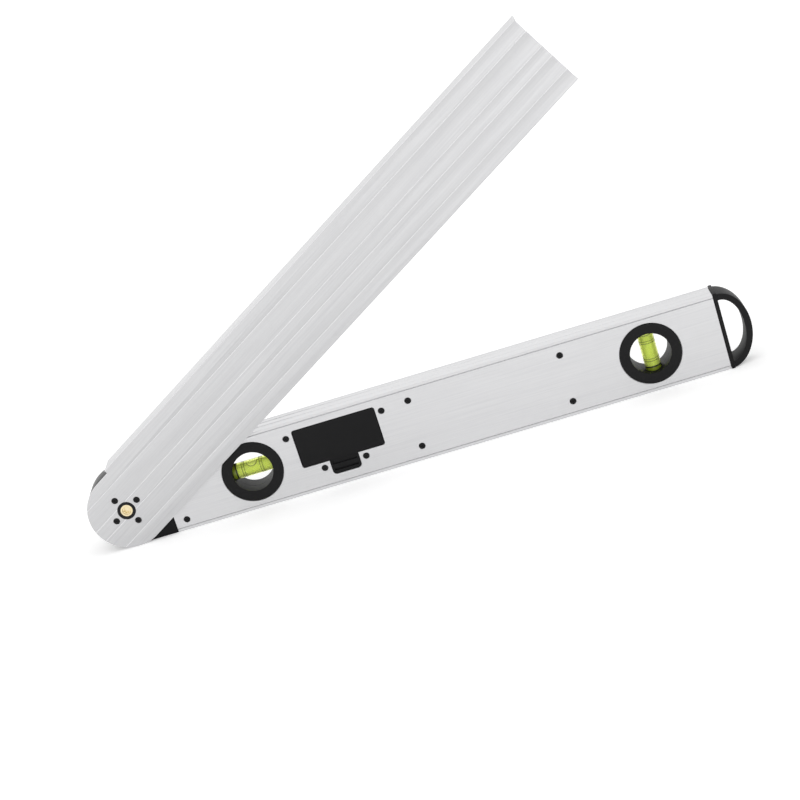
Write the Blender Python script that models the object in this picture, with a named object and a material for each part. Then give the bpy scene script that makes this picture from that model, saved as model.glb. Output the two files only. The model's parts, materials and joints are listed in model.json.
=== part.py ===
"""Digital angle finder with two arms, open at the angle at which it is shown.

Metres, +Z up. The main arm stands on its lower edge, the display faces -Y and the
pivot is at the +X end. The origin is the middle of the main arm's lower edge.

Pieces are drawn in the pivot's own frame, in which x runs from the pivot axis to the
handle, y towards the display and z up from the arm's centreline. Two empties carry
that frame: one stays with the main arm, and the other turns with the swing arm.
"""

import math

import bmesh
import bpy
from mathutils import Vector

# Fits and making
FIT_GAP = 0.0003
OVERRUN = 0.0020
WELD = 0.000001
SHARP_ANGLE = math.radians(32)
CURVE_STEPS = 32
SMALL_STEPS = 12
CORNER_STEPS = 4

# Main arm, an aluminium box section
ARM_HEIGHT = 0.0510
ARM_DEPTH = 0.0200
ARM_WALL = 0.0014
ARM_START = 0.0268
ARM_END = 0.3975
EDGE_CHAMFER = 0.0004
SIDE_GROOVE_INSET = 0.0022
SIDE_GROOVE_WIDTH = 0.0005
SIDE_GROOVE_DEPTH = 0.0004
EDGE_GROOVE_SPACING = 0.0070
EDGE_GROOVE_WIDTH = 0.0009
EDGE_GROOVE_DEPTH = 0.0004

# Swing arm, an L section: a plate behind the main arm and a flange along its top edge
OPEN_ANGLE = math.radians(31.0)
PLATE_THICKNESS = 0.0022
PLATE_STANDOFF = 0.0009
PLATE_LENGTH = 0.3972
FLANGE_THICKNESS = 0.0020
FLANGE_SEAT = 0.0004
FLANGE_START = 0.0114
FLANGE_SETBACK = 0.0025
PLATE_GROOVE_WIDTH = 0.0006
PLATE_GROOVE_DEPTH = 0.0004
PLATE_GROOVE_SHARES = (0.18, 0.43, 0.59, 0.82)

# Pivot housing
HOUSING_FRONT_WALL = 0.0050
HOUSING_RIM = 0.0035
HOUSING_TONGUE = 0.0150
HOUSING_CHAMFER = 0.0008
HOLLOW_MARGIN = 0.0115
HOLLOW_BACK = -0.0065
HOLLOW_FRONT = 0.0045
HOLLOW_START = 0.0180
FRICTION_RING_THICKNESS = 0.0003

# Hub that the swing arm turns on, and the angle sensor round it
HUB_BOSS_RADIUS = 0.00565
HUB_BOSS_PROUD = 0.0004
HUB_FLANGE_RADIUS = 0.0145
HUB_FLANGE_THICKNESS = 0.0056
HUB_SHOULDER_RADIUS = 0.0120
HUB_NECK_RADIUS = 0.0070
HUB_NECK_SETBACK = 0.0020
SENSOR_BOARD_THICKNESS = 0.0012
SENSOR_BOARD_HOLE_RADIUS = 0.0085
SENSOR_ROTOR_THICKNESS = 0.0010
SENSOR_ROTOR_CLEARANCE = 0.0030
SENSOR_AIR_GAP = 0.0015
HUB_STEPS = 24

# Brass pivot bolt
BOLT_HEAD_RADIUS = 0.0040
BOLT_HEAD_LENGTH = 0.0035
BOLT_SHAFT_RADIUS = 0.0030
BOLT_STEPS = 16

# Clamping knob
WASHER_THICKNESS = 0.0010
WASHER_RADIUS = 0.0090
KNOB_RADIUS = 0.0205
KNOB_HEIGHT = 0.0150
KNOB_LOBES = 12
KNOB_POINTS_PER_LOBE = 6
KNOB_LOBE_DEPTH = 0.0011
KNOB_WALL = 0.0028
KNOB_TOP = 0.0035
KNOB_BOSS_RADIUS = 0.0080
KNOB_ROUNDING = 0.0016
KNOB_DISH_DEPTH = 0.0009
KNOB_RIM_WIDTH = 0.0030
INSERT_RADIUS = 0.0053
INSERT_LENGTH = 0.0098
BOLT_TIP_CLEARANCE = 0.0010

# End cap with its hand loop
CAP_THICKNESS = 0.0024
CAP_OVERHANG = 0.0003
CAP_TOP_OVERHANG = 0.0006
CAP_TONGUE = 0.0080
CAP_TONGUE_WALL = 0.0016
LOOP_REACH = 0.0173
LOOP_INSET = 0.0003
LOOP_BAR = 0.0043
LOOP_ROOT_DEPTH = 0.0190
LOOP_APEX_DEPTH = 0.0114
LOOP_CHAMFER = 0.0012
LOOP_STEPS = 20

# Vials and the rings that hold them
LEVEL_VIAL_PLACE = 0.0853
PLUMB_VIAL_PLACE = 0.3508
RING_RADIUS = 0.0200
RING_BORE_RADIUS = 0.01325
RING_BARREL_RADIUS = 0.0170
RING_FLANGE = 0.0010
RING_CHAMFER = 0.0005
FRONT_RING_SEAT = 0.0
BACK_RING_SEAT = 0.0008
VIAL_RADIUS = 0.0052
VIAL_LENGTH = 0.0310
VIAL_WALL = 0.0010
VIAL_PLUG = 0.0020
BUBBLE_LENGTH = 0.0075
BUBBLE_RADIUS = 0.0022
VIAL_STEPS = 16
BUBBLE_STEPS = 10

# Display bezel
BEZEL_START = 0.1690
BEZEL_END = 0.2810
BEZEL_MARGIN = 0.0045
BEZEL_CORNER_LONG = (0.0072, 0.0108)
BEZEL_CORNER_SHORT = (0.0060, 0.0066)
BEZEL_THICKNESS = 0.0020
BEZEL_EDGE = 0.0007
BEZEL_SKIRT_INSET = 0.0032
BEZEL_SKIRT_WALL = 0.0014
BEZEL_SKIRT_DEPTH = 0.0058
PANEL_SINK = 0.0006
LCD_PANEL_START = 0.2136
LCD_PANEL_END = 0.2735
KEY_PANEL_START = 0.1725
KEY_PANEL_END = 0.2100
PANEL_MARGIN = 0.0032
PANEL_CORNER = 0.0040
WINDOW_START = 0.2171
WINDOW_END = 0.2693
WINDOW_LOW_MARGIN = 0.0096
WINDOW_HIGH_MARGIN = 0.0088

# What is behind the bezel
PANE_MARGIN = 0.0022
PANE_THICKNESS = 0.0010
LCD_THICKNESS = 0.0017
BACKLIGHT_THICKNESS = 0.0022
BOARD_THICKNESS = 0.0016
BOARD_MARGIN = 0.0044
CHASSIS_THICKNESS = 0.0016
CHASSIS_START = 0.1880
CHASSIS_END = 0.3015
CHASSIS_RAIL = 0.0016
CHASSIS_RAIL_CLEARANCE = 0.0010
CHASSIS_BOSS_RADIUS = 0.0030

# Buttons and the rubber mat under them
BUTTON_WIDTH = 0.0066
BUTTON_HEIGHT = 0.0070
BUTTON_SLANT = 0.0040
BUTTON_CORNER = 0.0010
BUTTON_FLANGE = 0.0008
BUTTON_FLANGE_THICKNESS = 0.0008
BUTTON_PROUD = 0.0009
BUTTON_EDGE = 0.0003
BUTTON_STEM_INSET = 0.0022
BUTTON_STEM_LENGTH = 0.0022
BUTTON_FAR_COLUMN = 0.2013
BUTTON_NEAR_COLUMN = 0.1851
BUTTON_HIGH_ROW = 0.0057
BUTTON_LOW_ROW = -0.0063
MAT_MARGIN = 0.0020
MAT_THICKNESS = 0.0008
MAT_DOME_HEIGHT = 0.0006
MAT_DOME_RADIUS = 0.0020

# Battery cover
COVER_START = 0.1171
COVER_END = 0.1721
COVER_HEIGHT = 0.0260
COVER_MARGIN = 0.0033
COVER_CORNER = 0.0018
LATCH_START = 0.1349
LATCH_END = 0.1537
LATCH_MARGIN = 0.0031
LATCH_RIDGE_WIDTH_SHARE = 0.14
LATCH_HOLLOW_DEPTH = 0.0007
LATCH_HOLLOW_SHARES = (0.18, 0.82)
LATCH_RIDGE_SHARE = 0.50
LATCH_TONGUE_LENGTH = 0.0030
LATCH_TONGUE_THICKNESS = 0.0010
LATCH_TONGUE_WIDTH = 0.0100
LATCH_TONGUE_SHARE = 0.55
LUG_WIDTH = 0.0050
LUG_THICKNESS = 0.0010
LUG_REACH = 0.0017
LUG_PLACE_SHARES = (0.22, 0.78)

# Battery tray
TRAY_FLANGE_START = 0.1089
TRAY_FLANGE_END = 0.1797
TRAY_LOW_MARGIN = 0.0035
TRAY_HIGH_MARGIN = 0.0023
TRAY_FLANGE_THICKNESS = 0.0020
TRAY_WALL = 0.0016
TRAY_DEPTH = 0.0142
TRAY_BOSS_RADIUS = 0.0026
TRAY_BOSS_LENGTH = 0.0028
LATCH_POCKET_CLEARANCE = 0.0012
LATCH_POCKET_DEPTH = 0.0040
LUG_NOTCH_CLEARANCE = 0.0006

# Cells and their contacts
CELL_RADIUS = 0.00525
CELL_LENGTH = 0.0435
CELL_NUB_RADIUS = 0.0019
CELL_NUB_LENGTH = 0.0010
CELL_SPACING = 0.0006
CELL_STEPS = 20
CONTACT_THICKNESS = 0.0004
CONTACT_SIZE = 0.0080
SPRING_LENGTH = 0.0042
SPRING_WIRE_RADIUS = 0.00035
SPRING_WIDE_RADIUS = 0.0036
SPRING_NARROW_RADIUS = 0.0024
SPRING_TURNS = 3
SPRING_POINTS_PER_TURN = 12

# Screws, all countersunk and all driven from the back
SCREW_HEAD_RADIUS = 0.0020
SCREW_HEAD_DEPTH = 0.0010
SCREW_SHANK_RADIUS = 0.0010
SCREW_TIP_CLEARANCE = 0.0005
TRAY_SCREW_START_OFFSET = 0.0047
TRAY_SCREW_END_OFFSET = 0.0042
TRAY_SCREW_HIGH_DROP = 0.0039
TRAY_SCREW_LOW_DROP = 0.0041
TRAY_SCREW_LATCH_OFFSET = 0.0045
TRAY_SCREW_LENGTH = 0.0062
DISPLAY_SCREW_INSET = 0.0064
DISPLAY_SCREW_MARGIN = 0.0095
DISPLAY_SCREW_LENGTH = 0.0085
HOUSING_SCREW_PLACE = 0.0345
HOUSING_SCREW_MARGIN = 0.0070
HOUSING_SCREW_LENGTH = 0.0070
HUB_SCREW_CIRCLE_RADIUS = 0.0099
HUB_SCREW_LENGTH = 0.0062
HUB_SCREWS = 4

# Wiring inside the arm
RIBBON_WIDTH = 0.0050
RIBBON_THICKNESS = 0.0003
RIBBON_FRONT = 0.0040
RIBBON_PLACE_SHARES = (0.14, 0.24, 0.88, 1.0)
RIBBON_LOW_INSET = 0.0004
LEAD_RADIUS = 0.0006
LEAD_SAG = 0.0030
LEAD_REACH = 0.0100
LEAD_POINTS = 9
LEAD_HEIGHTS = (0.0125, 0.0020)

# Worked out from the sizes above
HALF_HEIGHT = ARM_HEIGHT / 2
HALF_DEPTH = ARM_DEPTH / 2
INNER_DEPTH = HALF_DEPTH - ARM_WALL
INNER_HEIGHT = HALF_HEIGHT - ARM_WALL
HOLLOW_HALF_HEIGHT = HALF_HEIGHT - HOLLOW_MARGIN
LOOP_HALF_HEIGHT = HALF_HEIGHT - LOOP_INSET
BEZEL_HEIGHT = ARM_HEIGHT - 2 * BEZEL_MARGIN
PANEL_HEIGHT = BEZEL_HEIGHT - 2 * PANEL_MARGIN
WINDOW_LOW = WINDOW_LOW_MARGIN - BEZEL_HEIGHT / 2
WINDOW_HIGH = BEZEL_HEIGHT / 2 - WINDOW_HIGH_MARGIN
TRAY_FLANGE_LOW = TRAY_LOW_MARGIN - INNER_HEIGHT
TRAY_FLANGE_HIGH = INNER_HEIGHT - TRAY_HIGH_MARGIN
COVER_HIGH = TRAY_FLANGE_HIGH - COVER_MARGIN
COVER_LOW = COVER_HIGH - COVER_HEIGHT
LATCH_DROP = COVER_LOW - TRAY_FLANGE_LOW - LATCH_MARGIN
DISPLAY_SCREW_HEIGHT = HALF_HEIGHT - DISPLAY_SCREW_MARGIN
HOUSING_SCREW_HEIGHT = HALF_HEIGHT - HOUSING_SCREW_MARGIN
PIVOT_X = (ARM_START + ARM_END) / 2
PIVOT_Z = HALF_HEIGHT
PLATE_INNER = -(HALF_DEPTH + PLATE_STANDOFF)
PLATE_OUTER = PLATE_INNER - PLATE_THICKNESS
FLANGE_UNDERSIDE = HALF_HEIGHT + FLANGE_SEAT
FLANGE_TOP = FLANGE_UNDERSIDE + FLANGE_THICKNESS
POCKET_RADIUS = HALF_HEIGHT - HOUSING_RIM
SENSOR_ROTOR_RADIUS = POCKET_RADIUS - SENSOR_ROTOR_CLEARANCE
POCKET_FLOOR = HALF_DEPTH - HOUSING_FRONT_WALL
SENSOR_BOARD_FRONT = POCKET_FLOOR - FIT_GAP
SENSOR_BOARD_BACK = SENSOR_BOARD_FRONT - SENSOR_BOARD_THICKNESS
ROTOR_FRONT = SENSOR_BOARD_BACK - SENSOR_AIR_GAP
ROTOR_BACK = ROTOR_FRONT - SENSOR_ROTOR_THICKNESS
HUB_FLANGE_BACK = PLATE_INNER + FIT_GAP
KNOB_BASE = HALF_DEPTH + FIT_GAP + WASHER_THICKNESS + FIT_GAP
BEZEL_BACK = HALF_DEPTH + FIT_GAP
BEZEL_FRONT = BEZEL_BACK + BEZEL_THICKNESS
PANEL_FACE = BEZEL_FRONT - PANEL_SINK
SKIRT_END = BEZEL_BACK - BEZEL_SKIRT_DEPTH
BOARD_FRONT = SKIRT_END - FIT_GAP
BOARD_BACK = BOARD_FRONT - BOARD_THICKNESS
CHASSIS_FRONT = BOARD_BACK - FIT_GAP
CHASSIS_BACK = CHASSIS_FRONT - CHASSIS_THICKNESS
PANE_FRONT = BEZEL_BACK - FIT_GAP
LCD_FRONT = PANE_FRONT - PANE_THICKNESS - FIT_GAP
BACKLIGHT_FRONT = LCD_FRONT - LCD_THICKNESS - FIT_GAP
COVER_INNER = -INNER_DEPTH
TRAY_BACK = -(INNER_DEPTH - FIT_GAP)
TRAY_FLOOR = TRAY_BACK + TRAY_DEPTH - TRAY_WALL
CAVITY_START = COVER_START + TRAY_WALL
CAVITY_END = COVER_END - FIT_GAP - TRAY_WALL
CAVITY_HEIGHT = 4 * CELL_RADIUS + 3 * CELL_SPACING
CAVITY_HIGH = COVER_HIGH
CAVITY_LOW = CAVITY_HIGH - CAVITY_HEIGHT
CELL_DEPTH = TRAY_FLOOR - FIT_GAP - CELL_RADIUS


def clear_scene():
    """Removes whatever the scene holds."""
    for old in list(bpy.data.objects):
        bpy.data.objects.remove(old, do_unlink=True)


def finish(name, colour, roughness, metallic=0.0, alpha=1.0):
    """A Principled material with one colour."""
    made = bpy.data.materials.new(name)
    made.use_nodes = True
    shader = made.node_tree.nodes["Principled BSDF"]
    shader.inputs["Base Color"].default_value = (*colour, 1.0)
    shader.inputs["Roughness"].default_value = roughness
    shader.inputs["Metallic"].default_value = metallic
    shader.inputs["Alpha"].default_value = alpha
    made.diffuse_color = (*colour, alpha)
    return made


def make_finishes():
    """Every finish on the tool, by name."""
    return {
        "aluminium": finish("satin_aluminium", (0.72, 0.72, 0.73), 0.35, 1.0),
        "black": finish("black_abs", (0.020, 0.020, 0.022), 0.45),
        "knob": finish("black_nylon", (0.012, 0.012, 0.013), 0.50),
        "acrylic": finish("clear_acrylic", (0.85, 0.95, 0.70), 0.05, 0.0, 0.4),
        "spirit": finish("vial_spirit", (0.75, 0.90, 0.15), 0.10, 0.0, 0.7),
        "window": finish("clear_window", (0.80, 0.90, 0.85), 0.05, 0.0, 0.3),
        "lcd": finish("lcd_glass", (0.20, 0.70, 0.30), 0.20),
        "diffuser": finish("white_diffuser", (0.85, 0.90, 0.85), 0.40),
        "board": finish("green_circuit_board", (0.02, 0.20, 0.06), 0.50),
        "rubber": finish("grey_silicone", (0.30, 0.30, 0.31), 0.70),
        "grey_key": finish("grey_key_plastic", (0.35, 0.36, 0.38), 0.50),
        "red_key": finish("red_key_plastic", (0.83, 0.04, 0.02), 0.45),
        "steel": finish("zinc_plated_steel", (0.55, 0.55, 0.56), 0.30, 1.0),
        "black_steel": finish("blackened_steel", (0.03, 0.03, 0.03), 0.45, 1.0),
        "brass": finish("turned_brass", (0.72, 0.50, 0.20), 0.25, 1.0),
        "copper": finish("copper_clad", (0.60, 0.30, 0.12), 0.35, 1.0),
        "wrapper": finish("cell_wrapper", (0.06, 0.10, 0.30), 0.40),
        "slip": finish("white_slip_ring", (0.80, 0.80, 0.78), 0.50),
        "ribbon": finish("ribbon_film", (0.65, 0.40, 0.10), 0.45),
        "red_wire": finish("red_wire_jacket", (0.60, 0.03, 0.03), 0.45),
        "black_wire": finish("black_wire_jacket", (0.02, 0.02, 0.02), 0.45),
    }


def frame_empty(name, turn_y=0.0):
    """An empty at the pivot axis whose x runs towards the handle and y to the display."""
    empty = bpy.data.objects.new(name, None)
    bpy.context.collection.objects.link(empty)
    empty.rotation_mode = "ZYX"
    empty.location = (PIVOT_X, 0, PIVOT_Z)
    empty.rotation_euler = (0, turn_y, math.pi)
    return empty


def add_object(name, bm, material, parent, place=(0, 0, 0), turn=(0, 0, 0), smooth=False):
    """Turns a bmesh into a named object under its frame."""
    bmesh.ops.recalc_face_normals(bm, faces=bm.faces)
    mesh = bpy.data.meshes.new(name)
    bm.to_mesh(mesh)
    bm.free()
    if material is not None:
        mesh.materials.append(material)
    if smooth:
        mesh.shade_smooth()
        mesh.set_sharp_from_angle(angle=SHARP_ANGLE)
    obj = bpy.data.objects.new(name, mesh)
    bpy.context.collection.objects.link(obj)
    obj.parent = parent
    obj.location = place
    obj.rotation_euler = turn
    return obj


def helper(name, bm, parent, place=(0, 0, 0), turn=(0, 0, 0)):
    """A shape that only cuts or joins, and isn't a piece itself."""
    obj = add_object(name, bm, None, parent, place, turn)
    obj.hide_render = True
    obj.display_type = "WIRE"
    return obj


def combine(obj, other, operation):
    """A Boolean of obj with another object."""
    modifier = obj.modifiers.new(other.name, "BOOLEAN")
    modifier.operation = operation
    modifier.solver = "EXACT"
    modifier.object = other


def carve(obj, cutter):
    """Takes the cutter's shape out of obj."""
    combine(obj, cutter, "DIFFERENCE")


def fuse(obj, other):
    """Makes another shape part of obj."""
    combine(obj, other, "UNION")


def gather(shapes):
    """One bmesh that holds several shapes which don't touch."""
    whole = bmesh.new()
    for bm in shapes:
        mesh = bpy.data.meshes.new("part_of_a_cutter")
        bmesh.ops.recalc_face_normals(bm, faces=bm.faces)
        bm.to_mesh(mesh)
        bm.free()
        whole.from_mesh(mesh)
        bpy.data.meshes.remove(mesh)
    return whole


def prism(outline, low, high, axis="y"):
    """An outline extruded from low to high. Its points are (x, z), (y, z) or (x, y)."""
    orders = {
        "x": lambda a, b, c: (c, a, b),
        "y": lambda a, b, c: (a, c, b),
        "z": lambda a, b, c: (a, b, c),
    }
    order = orders[axis]
    bm = bmesh.new()
    base = bm.faces.new([bm.verts.new(order(a, b, low)) for a, b in outline])
    made = bmesh.ops.extrude_face_region(bm, geom=[base])
    moved = [item for item in made["geom"] if isinstance(item, bmesh.types.BMVert)]
    bmesh.ops.translate(bm, verts=moved, vec=Vector(order(0, 0, high - low)))
    return bm


def turned(profile, steps):
    """A profile of (radius, y) turned about y. It is a closed loop, or ends on the axis."""
    bm = bmesh.new()
    points = [bm.verts.new((radius, height, 0)) for radius, height in profile]
    pairs = list(zip(points, points[1:]))
    if profile[0][0] > 0:
        pairs.append((points[-1], points[0]))
    edges = [bm.edges.new(pair) for pair in pairs]
    bmesh.ops.spin(
        bm,
        geom=points + edges,
        cent=(0, 0, 0),
        axis=(0, 1, 0),
        angle=2 * math.pi,
        steps=steps,
        use_merge=True,
    )
    bmesh.ops.remove_doubles(bm, verts=bm.verts, dist=WELD)
    return bm


def shifted(bm, place):
    """The same bmesh, moved."""
    bmesh.ops.translate(bm, verts=bm.verts, vec=Vector(place))
    return bm


def box(start, end, low, high, back, front):
    """A block from its limits along x, z and y."""
    outline = [(start, low), (end, low), (end, high), (start, high)]
    return prism(outline, back, front)


def rectangle(start, end, low, high):
    """The four corners of a rectangle."""
    return [(start, low), (end, low), (end, high), (start, high)]


def chamfered(start, end, low, high, corner):
    """A rectangle with its four corners cut off."""
    return [
        (start + corner, low),
        (end - corner, low),
        (end, low + corner),
        (end, high - corner),
        (end - corner, high),
        (start + corner, high),
        (start, high - corner),
        (start, low + corner),
    ]


def arc(centre, radius, first, last, steps):
    """Points along an arc, with its angles in radians."""
    angles = [first + (last - first) * step / steps for step in range(steps + 1)]
    return [
        (centre[0] + radius * math.cos(angle), centre[1] + radius * math.sin(angle))
        for angle in angles
    ]


def rounded(start, end, low, high, radius, steps=CORNER_STEPS):
    """A rectangle with round corners."""
    quarter = math.pi / 2
    corners = [
        ((end - radius, low + radius), -quarter),
        ((end - radius, high - radius), 0),
        ((start + radius, high - radius), quarter),
        ((start + radius, low + radius), math.pi),
    ]
    points = []
    for centre, first in corners:
        points += arc(centre, radius, first, first + quarter, steps)
    return points


def round_end(far, half):
    """An outline with a half-round end about the pivot and a square far end."""
    quarter = math.pi / 2
    return [(far, -half)] + arc((0, 0), half, -quarter, -3 * quarter, CURVE_STEPS) + [(far, half)]


def section_with_grooves(half_y, half_z):
    """The main arm's outer section, with its grooves along the faces and edges."""
    side = half_z - SIDE_GROOVE_INSET
    side_half = SIDE_GROOVE_WIDTH / 2
    edge = EDGE_GROOVE_SPACING / 2
    edge_half = EDGE_GROOVE_WIDTH / 2
    quarter = [
        (half_y, side - side_half),
        (half_y - SIDE_GROOVE_DEPTH, side),
        (half_y, side + side_half),
        (half_y, half_z - EDGE_CHAMFER),
        (half_y - EDGE_CHAMFER, half_z),
        (edge + edge_half, half_z),
        (edge, half_z - EDGE_GROOVE_DEPTH),
        (edge - edge_half, half_z),
    ]
    upper = quarter + [(-y, z) for y, z in reversed(quarter)]
    return upper + [(-y, -z) for y, z in upper]


def screw_hole(length, steps=SMALL_STEPS):
    """The space of a countersunk screw whose head is flush at y = 0, pointing to +y."""
    head = SCREW_HEAD_RADIUS + FIT_GAP
    shank = SCREW_SHANK_RADIUS + FIT_GAP
    return turned(
        [
            (0, -OVERRUN),
            (head, -OVERRUN),
            (head, 0),
            (shank, SCREW_HEAD_DEPTH),
            (shank, length + SCREW_TIP_CLEARANCE),
            (0, length + SCREW_TIP_CLEARANCE),
        ],
        steps,
    )


def screw_holes(places, face, length):
    """One cutter for the screws at several (x, z) places on a back face."""
    return gather([shifted(screw_hole(length), (x, face, z)) for x, z in places])


def add_screw(name, place, face, length, material, parent):
    """A countersunk screw with its head flush with a back face."""
    profile = [
        (0, 0),
        (SCREW_HEAD_RADIUS, 0),
        (SCREW_SHANK_RADIUS, SCREW_HEAD_DEPTH),
        (SCREW_SHANK_RADIUS, length),
        (0, length),
    ]
    bm = turned(profile, SMALL_STEPS)
    return add_object(name, bm, material, parent, (place[0], face, place[1]), smooth=True)


def tray_screw_places():
    """Where the battery tray is screwed to the back wall, round its cover."""
    high = COVER_HIGH - TRAY_SCREW_HIGH_DROP
    low = COVER_LOW - TRAY_SCREW_LOW_DROP
    return [
        (COVER_START - TRAY_SCREW_START_OFFSET, high),
        (COVER_END + TRAY_SCREW_END_OFFSET, high),
        (LATCH_START - TRAY_SCREW_LATCH_OFFSET, low),
        (LATCH_END + TRAY_SCREW_LATCH_OFFSET, low),
    ]


def display_screw_places():
    """Where the display chassis is screwed to the back wall."""
    heights = (DISPLAY_SCREW_HEIGHT, -DISPLAY_SCREW_HEIGHT)
    columns = (CHASSIS_START + DISPLAY_SCREW_INSET, CHASSIS_END - DISPLAY_SCREW_INSET)
    return [(x, z) for x in columns for z in heights]


def housing_screw_places():
    """Where the housing's tongue is screwed to the back wall."""
    return [
        (HOUSING_SCREW_PLACE, HOUSING_SCREW_HEIGHT),
        (HOUSING_SCREW_PLACE, -HOUSING_SCREW_HEIGHT),
    ]


def hub_screw_places():
    """Where the swing arm's plate is screwed to the hub."""
    circle = arc((0, 0), HUB_SCREW_CIRCLE_RADIUS, 0, 2 * math.pi, HUB_SCREWS)
    return circle[:-1]


def bezel_outline(inset):
    """The bezel's eight-sided outline, or the same drawn in by an inset."""
    start = BEZEL_START + inset
    end = BEZEL_END - inset
    top = BEZEL_HEIGHT / 2 - inset
    long_x, long_z = BEZEL_CORNER_LONG
    short_x, short_z = BEZEL_CORNER_SHORT
    return [
        (start + long_x, -top),
        (end - short_x, -top),
        (end, short_z - top),
        (end, top - short_z),
        (end - short_x, top),
        (start + long_x, top),
        (start, top - long_z),
        (start, long_z - top),
    ]


def cover_outline(spread):
    """The battery cover with its latch tab, or the same spread by a clearance."""
    latch_low = COVER_LOW - LATCH_DROP
    body = rounded(
        COVER_START - spread,
        COVER_END + spread,
        COVER_LOW - spread,
        COVER_HIGH + spread,
        COVER_CORNER,
    )
    tab = rounded(
        LATCH_START - spread,
        LATCH_END + spread,
        latch_low - spread,
        COVER_LOW + 2 * COVER_CORNER,
        COVER_CORNER,
    )
    return body, tab


def make_main_arm(finishes, frame):
    """The box section, with its openings for the rings, the display, the cover and screws."""
    outer = section_with_grooves(HALF_DEPTH, HALF_HEIGHT)
    arm = add_object("main_arm", prism(outer, ARM_START, ARM_END, "x"), finishes["aluminium"], frame)
    inside = rectangle(-INNER_DEPTH, INNER_DEPTH, -INNER_HEIGHT, INNER_HEIGHT)
    bore = prism(inside, ARM_START - OVERRUN, ARM_END + OVERRUN, "x")
    carve(arm, helper("main_arm_hollow_cut", bore, frame))
    through = HALF_DEPTH + OVERRUN
    seat_radius = RING_RADIUS + FIT_GAP
    barrel_radius = RING_BARREL_RADIUS + FIT_GAP
    profile = [
        (0, -through),
        (seat_radius, -through),
        (seat_radius, -(HALF_DEPTH - BACK_RING_SEAT)),
        (barrel_radius, -(HALF_DEPTH - BACK_RING_SEAT)),
        (barrel_radius, through),
        (0, through),
    ]
    places = (LEVEL_VIAL_PLACE, PLUMB_VIAL_PLACE)
    ring_cuts = [shifted(turned(profile, CURVE_STEPS), (x, 0, 0)) for x in places]
    carve(arm, helper("main_arm_ring_cut", gather(ring_cuts), frame))
    opening = prism(bezel_outline(BEZEL_SKIRT_INSET - FIT_GAP), 0, through)
    carve(arm, helper("main_arm_display_cut", opening, frame))
    for name, outline in zip(("cover", "latch"), cover_outline(FIT_GAP)):
        cut = prism(outline, -through, 0)
        carve(arm, helper(f"main_arm_{name}_cut", cut, frame))
    wall = ARM_WALL + OVERRUN
    places = tray_screw_places() + display_screw_places() + housing_screw_places()
    carve(arm, helper("main_arm_screw_cut", screw_holes(places, -HALF_DEPTH, wall), frame))
    return arm


def make_housing(finishes, frame):
    """The black housing at the pivot, with its sensor pocket and the tongue in the arm."""
    end = ARM_START - FIT_GAP
    bm = prism(round_end(end, HALF_HEIGHT), -HALF_DEPTH, HALF_DEPTH)
    front = [edge for edge in bm.edges if all(v.co.y > 0 for v in edge.verts)]
    round_front = [edge for edge in front if not all(v.co.x > end - WELD for v in edge.verts)]
    bmesh.ops.bevel(bm, geom=round_front, offset=HOUSING_CHAMFER, segments=1, affect="EDGES")
    housing = add_object("pivot_housing", bm, finishes["black"], frame, smooth=True)
    deep = INNER_DEPTH - FIT_GAP
    high = INNER_HEIGHT - FIT_GAP
    tongue_end = ARM_START + HOUSING_TONGUE
    tongue = box(end - OVERRUN, tongue_end, -high, high, -deep, deep)
    fuse(housing, helper("housing_tongue", tongue, frame))
    hollow = box(
        HOLLOW_START,
        tongue_end + OVERRUN,
        -HOLLOW_HALF_HEIGHT,
        HOLLOW_HALF_HEIGHT,
        HOLLOW_BACK,
        HOLLOW_FRONT,
    )
    carve(housing, helper("housing_hollow_cut", hollow, frame))
    neck = HUB_NECK_RADIUS + FIT_GAP
    pocket = turned(
        [
            (0, -HALF_DEPTH - OVERRUN),
            (POCKET_RADIUS, -HALF_DEPTH - OVERRUN),
            (POCKET_RADIUS, POCKET_FLOOR),
            (neck, POCKET_FLOOR),
            (neck, HALF_DEPTH + OVERRUN),
            (0, HALF_DEPTH + OVERRUN),
        ],
        CURVE_STEPS,
    )
    carve(housing, helper("housing_pocket_cut", pocket, frame))
    holes = screw_holes(housing_screw_places(), -HALF_DEPTH, HOUSING_SCREW_LENGTH)
    carve(housing, helper("housing_screw_cut", holes, frame))
    return housing


def make_friction_ring(finishes, frame):
    """The slip ring between the housing's rim and the swing arm's plate."""
    back = -(HALF_DEPTH + FIT_GAP + FRICTION_RING_THICKNESS)
    front = -(HALF_DEPTH + FIT_GAP)
    inner = POCKET_RADIUS + FIT_GAP
    outer = HALF_HEIGHT - FIT_GAP
    profile = [(inner, back), (outer, back), (outer, front), (inner, front)]
    bm = turned(profile, CURVE_STEPS)
    return add_object("friction_ring", bm, finishes["slip"], frame, smooth=True)


def make_sensor(finishes, main_frame, swing_frame):
    """The fixed sensor board in the pocket, and the disc on the hub that it reads."""
    outer = POCKET_RADIUS - 2 * FIT_GAP
    board = [
        (SENSOR_BOARD_HOLE_RADIUS, SENSOR_BOARD_BACK),
        (outer, SENSOR_BOARD_BACK),
        (outer, SENSOR_BOARD_FRONT),
        (SENSOR_BOARD_HOLE_RADIUS, SENSOR_BOARD_FRONT),
    ]
    add_object(
        "sensor_board", turned(board, CURVE_STEPS), finishes["board"], main_frame, smooth=True
    )
    hole = HUB_NECK_RADIUS + FIT_GAP
    disc = [
        (hole, ROTOR_BACK),
        (SENSOR_ROTOR_RADIUS, ROTOR_BACK),
        (SENSOR_ROTOR_RADIUS, ROTOR_FRONT),
        (hole, ROTOR_FRONT),
    ]
    add_object(
        "sensor_rotor", turned(disc, CURVE_STEPS), finishes["copper"], swing_frame, smooth=True
    )


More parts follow.
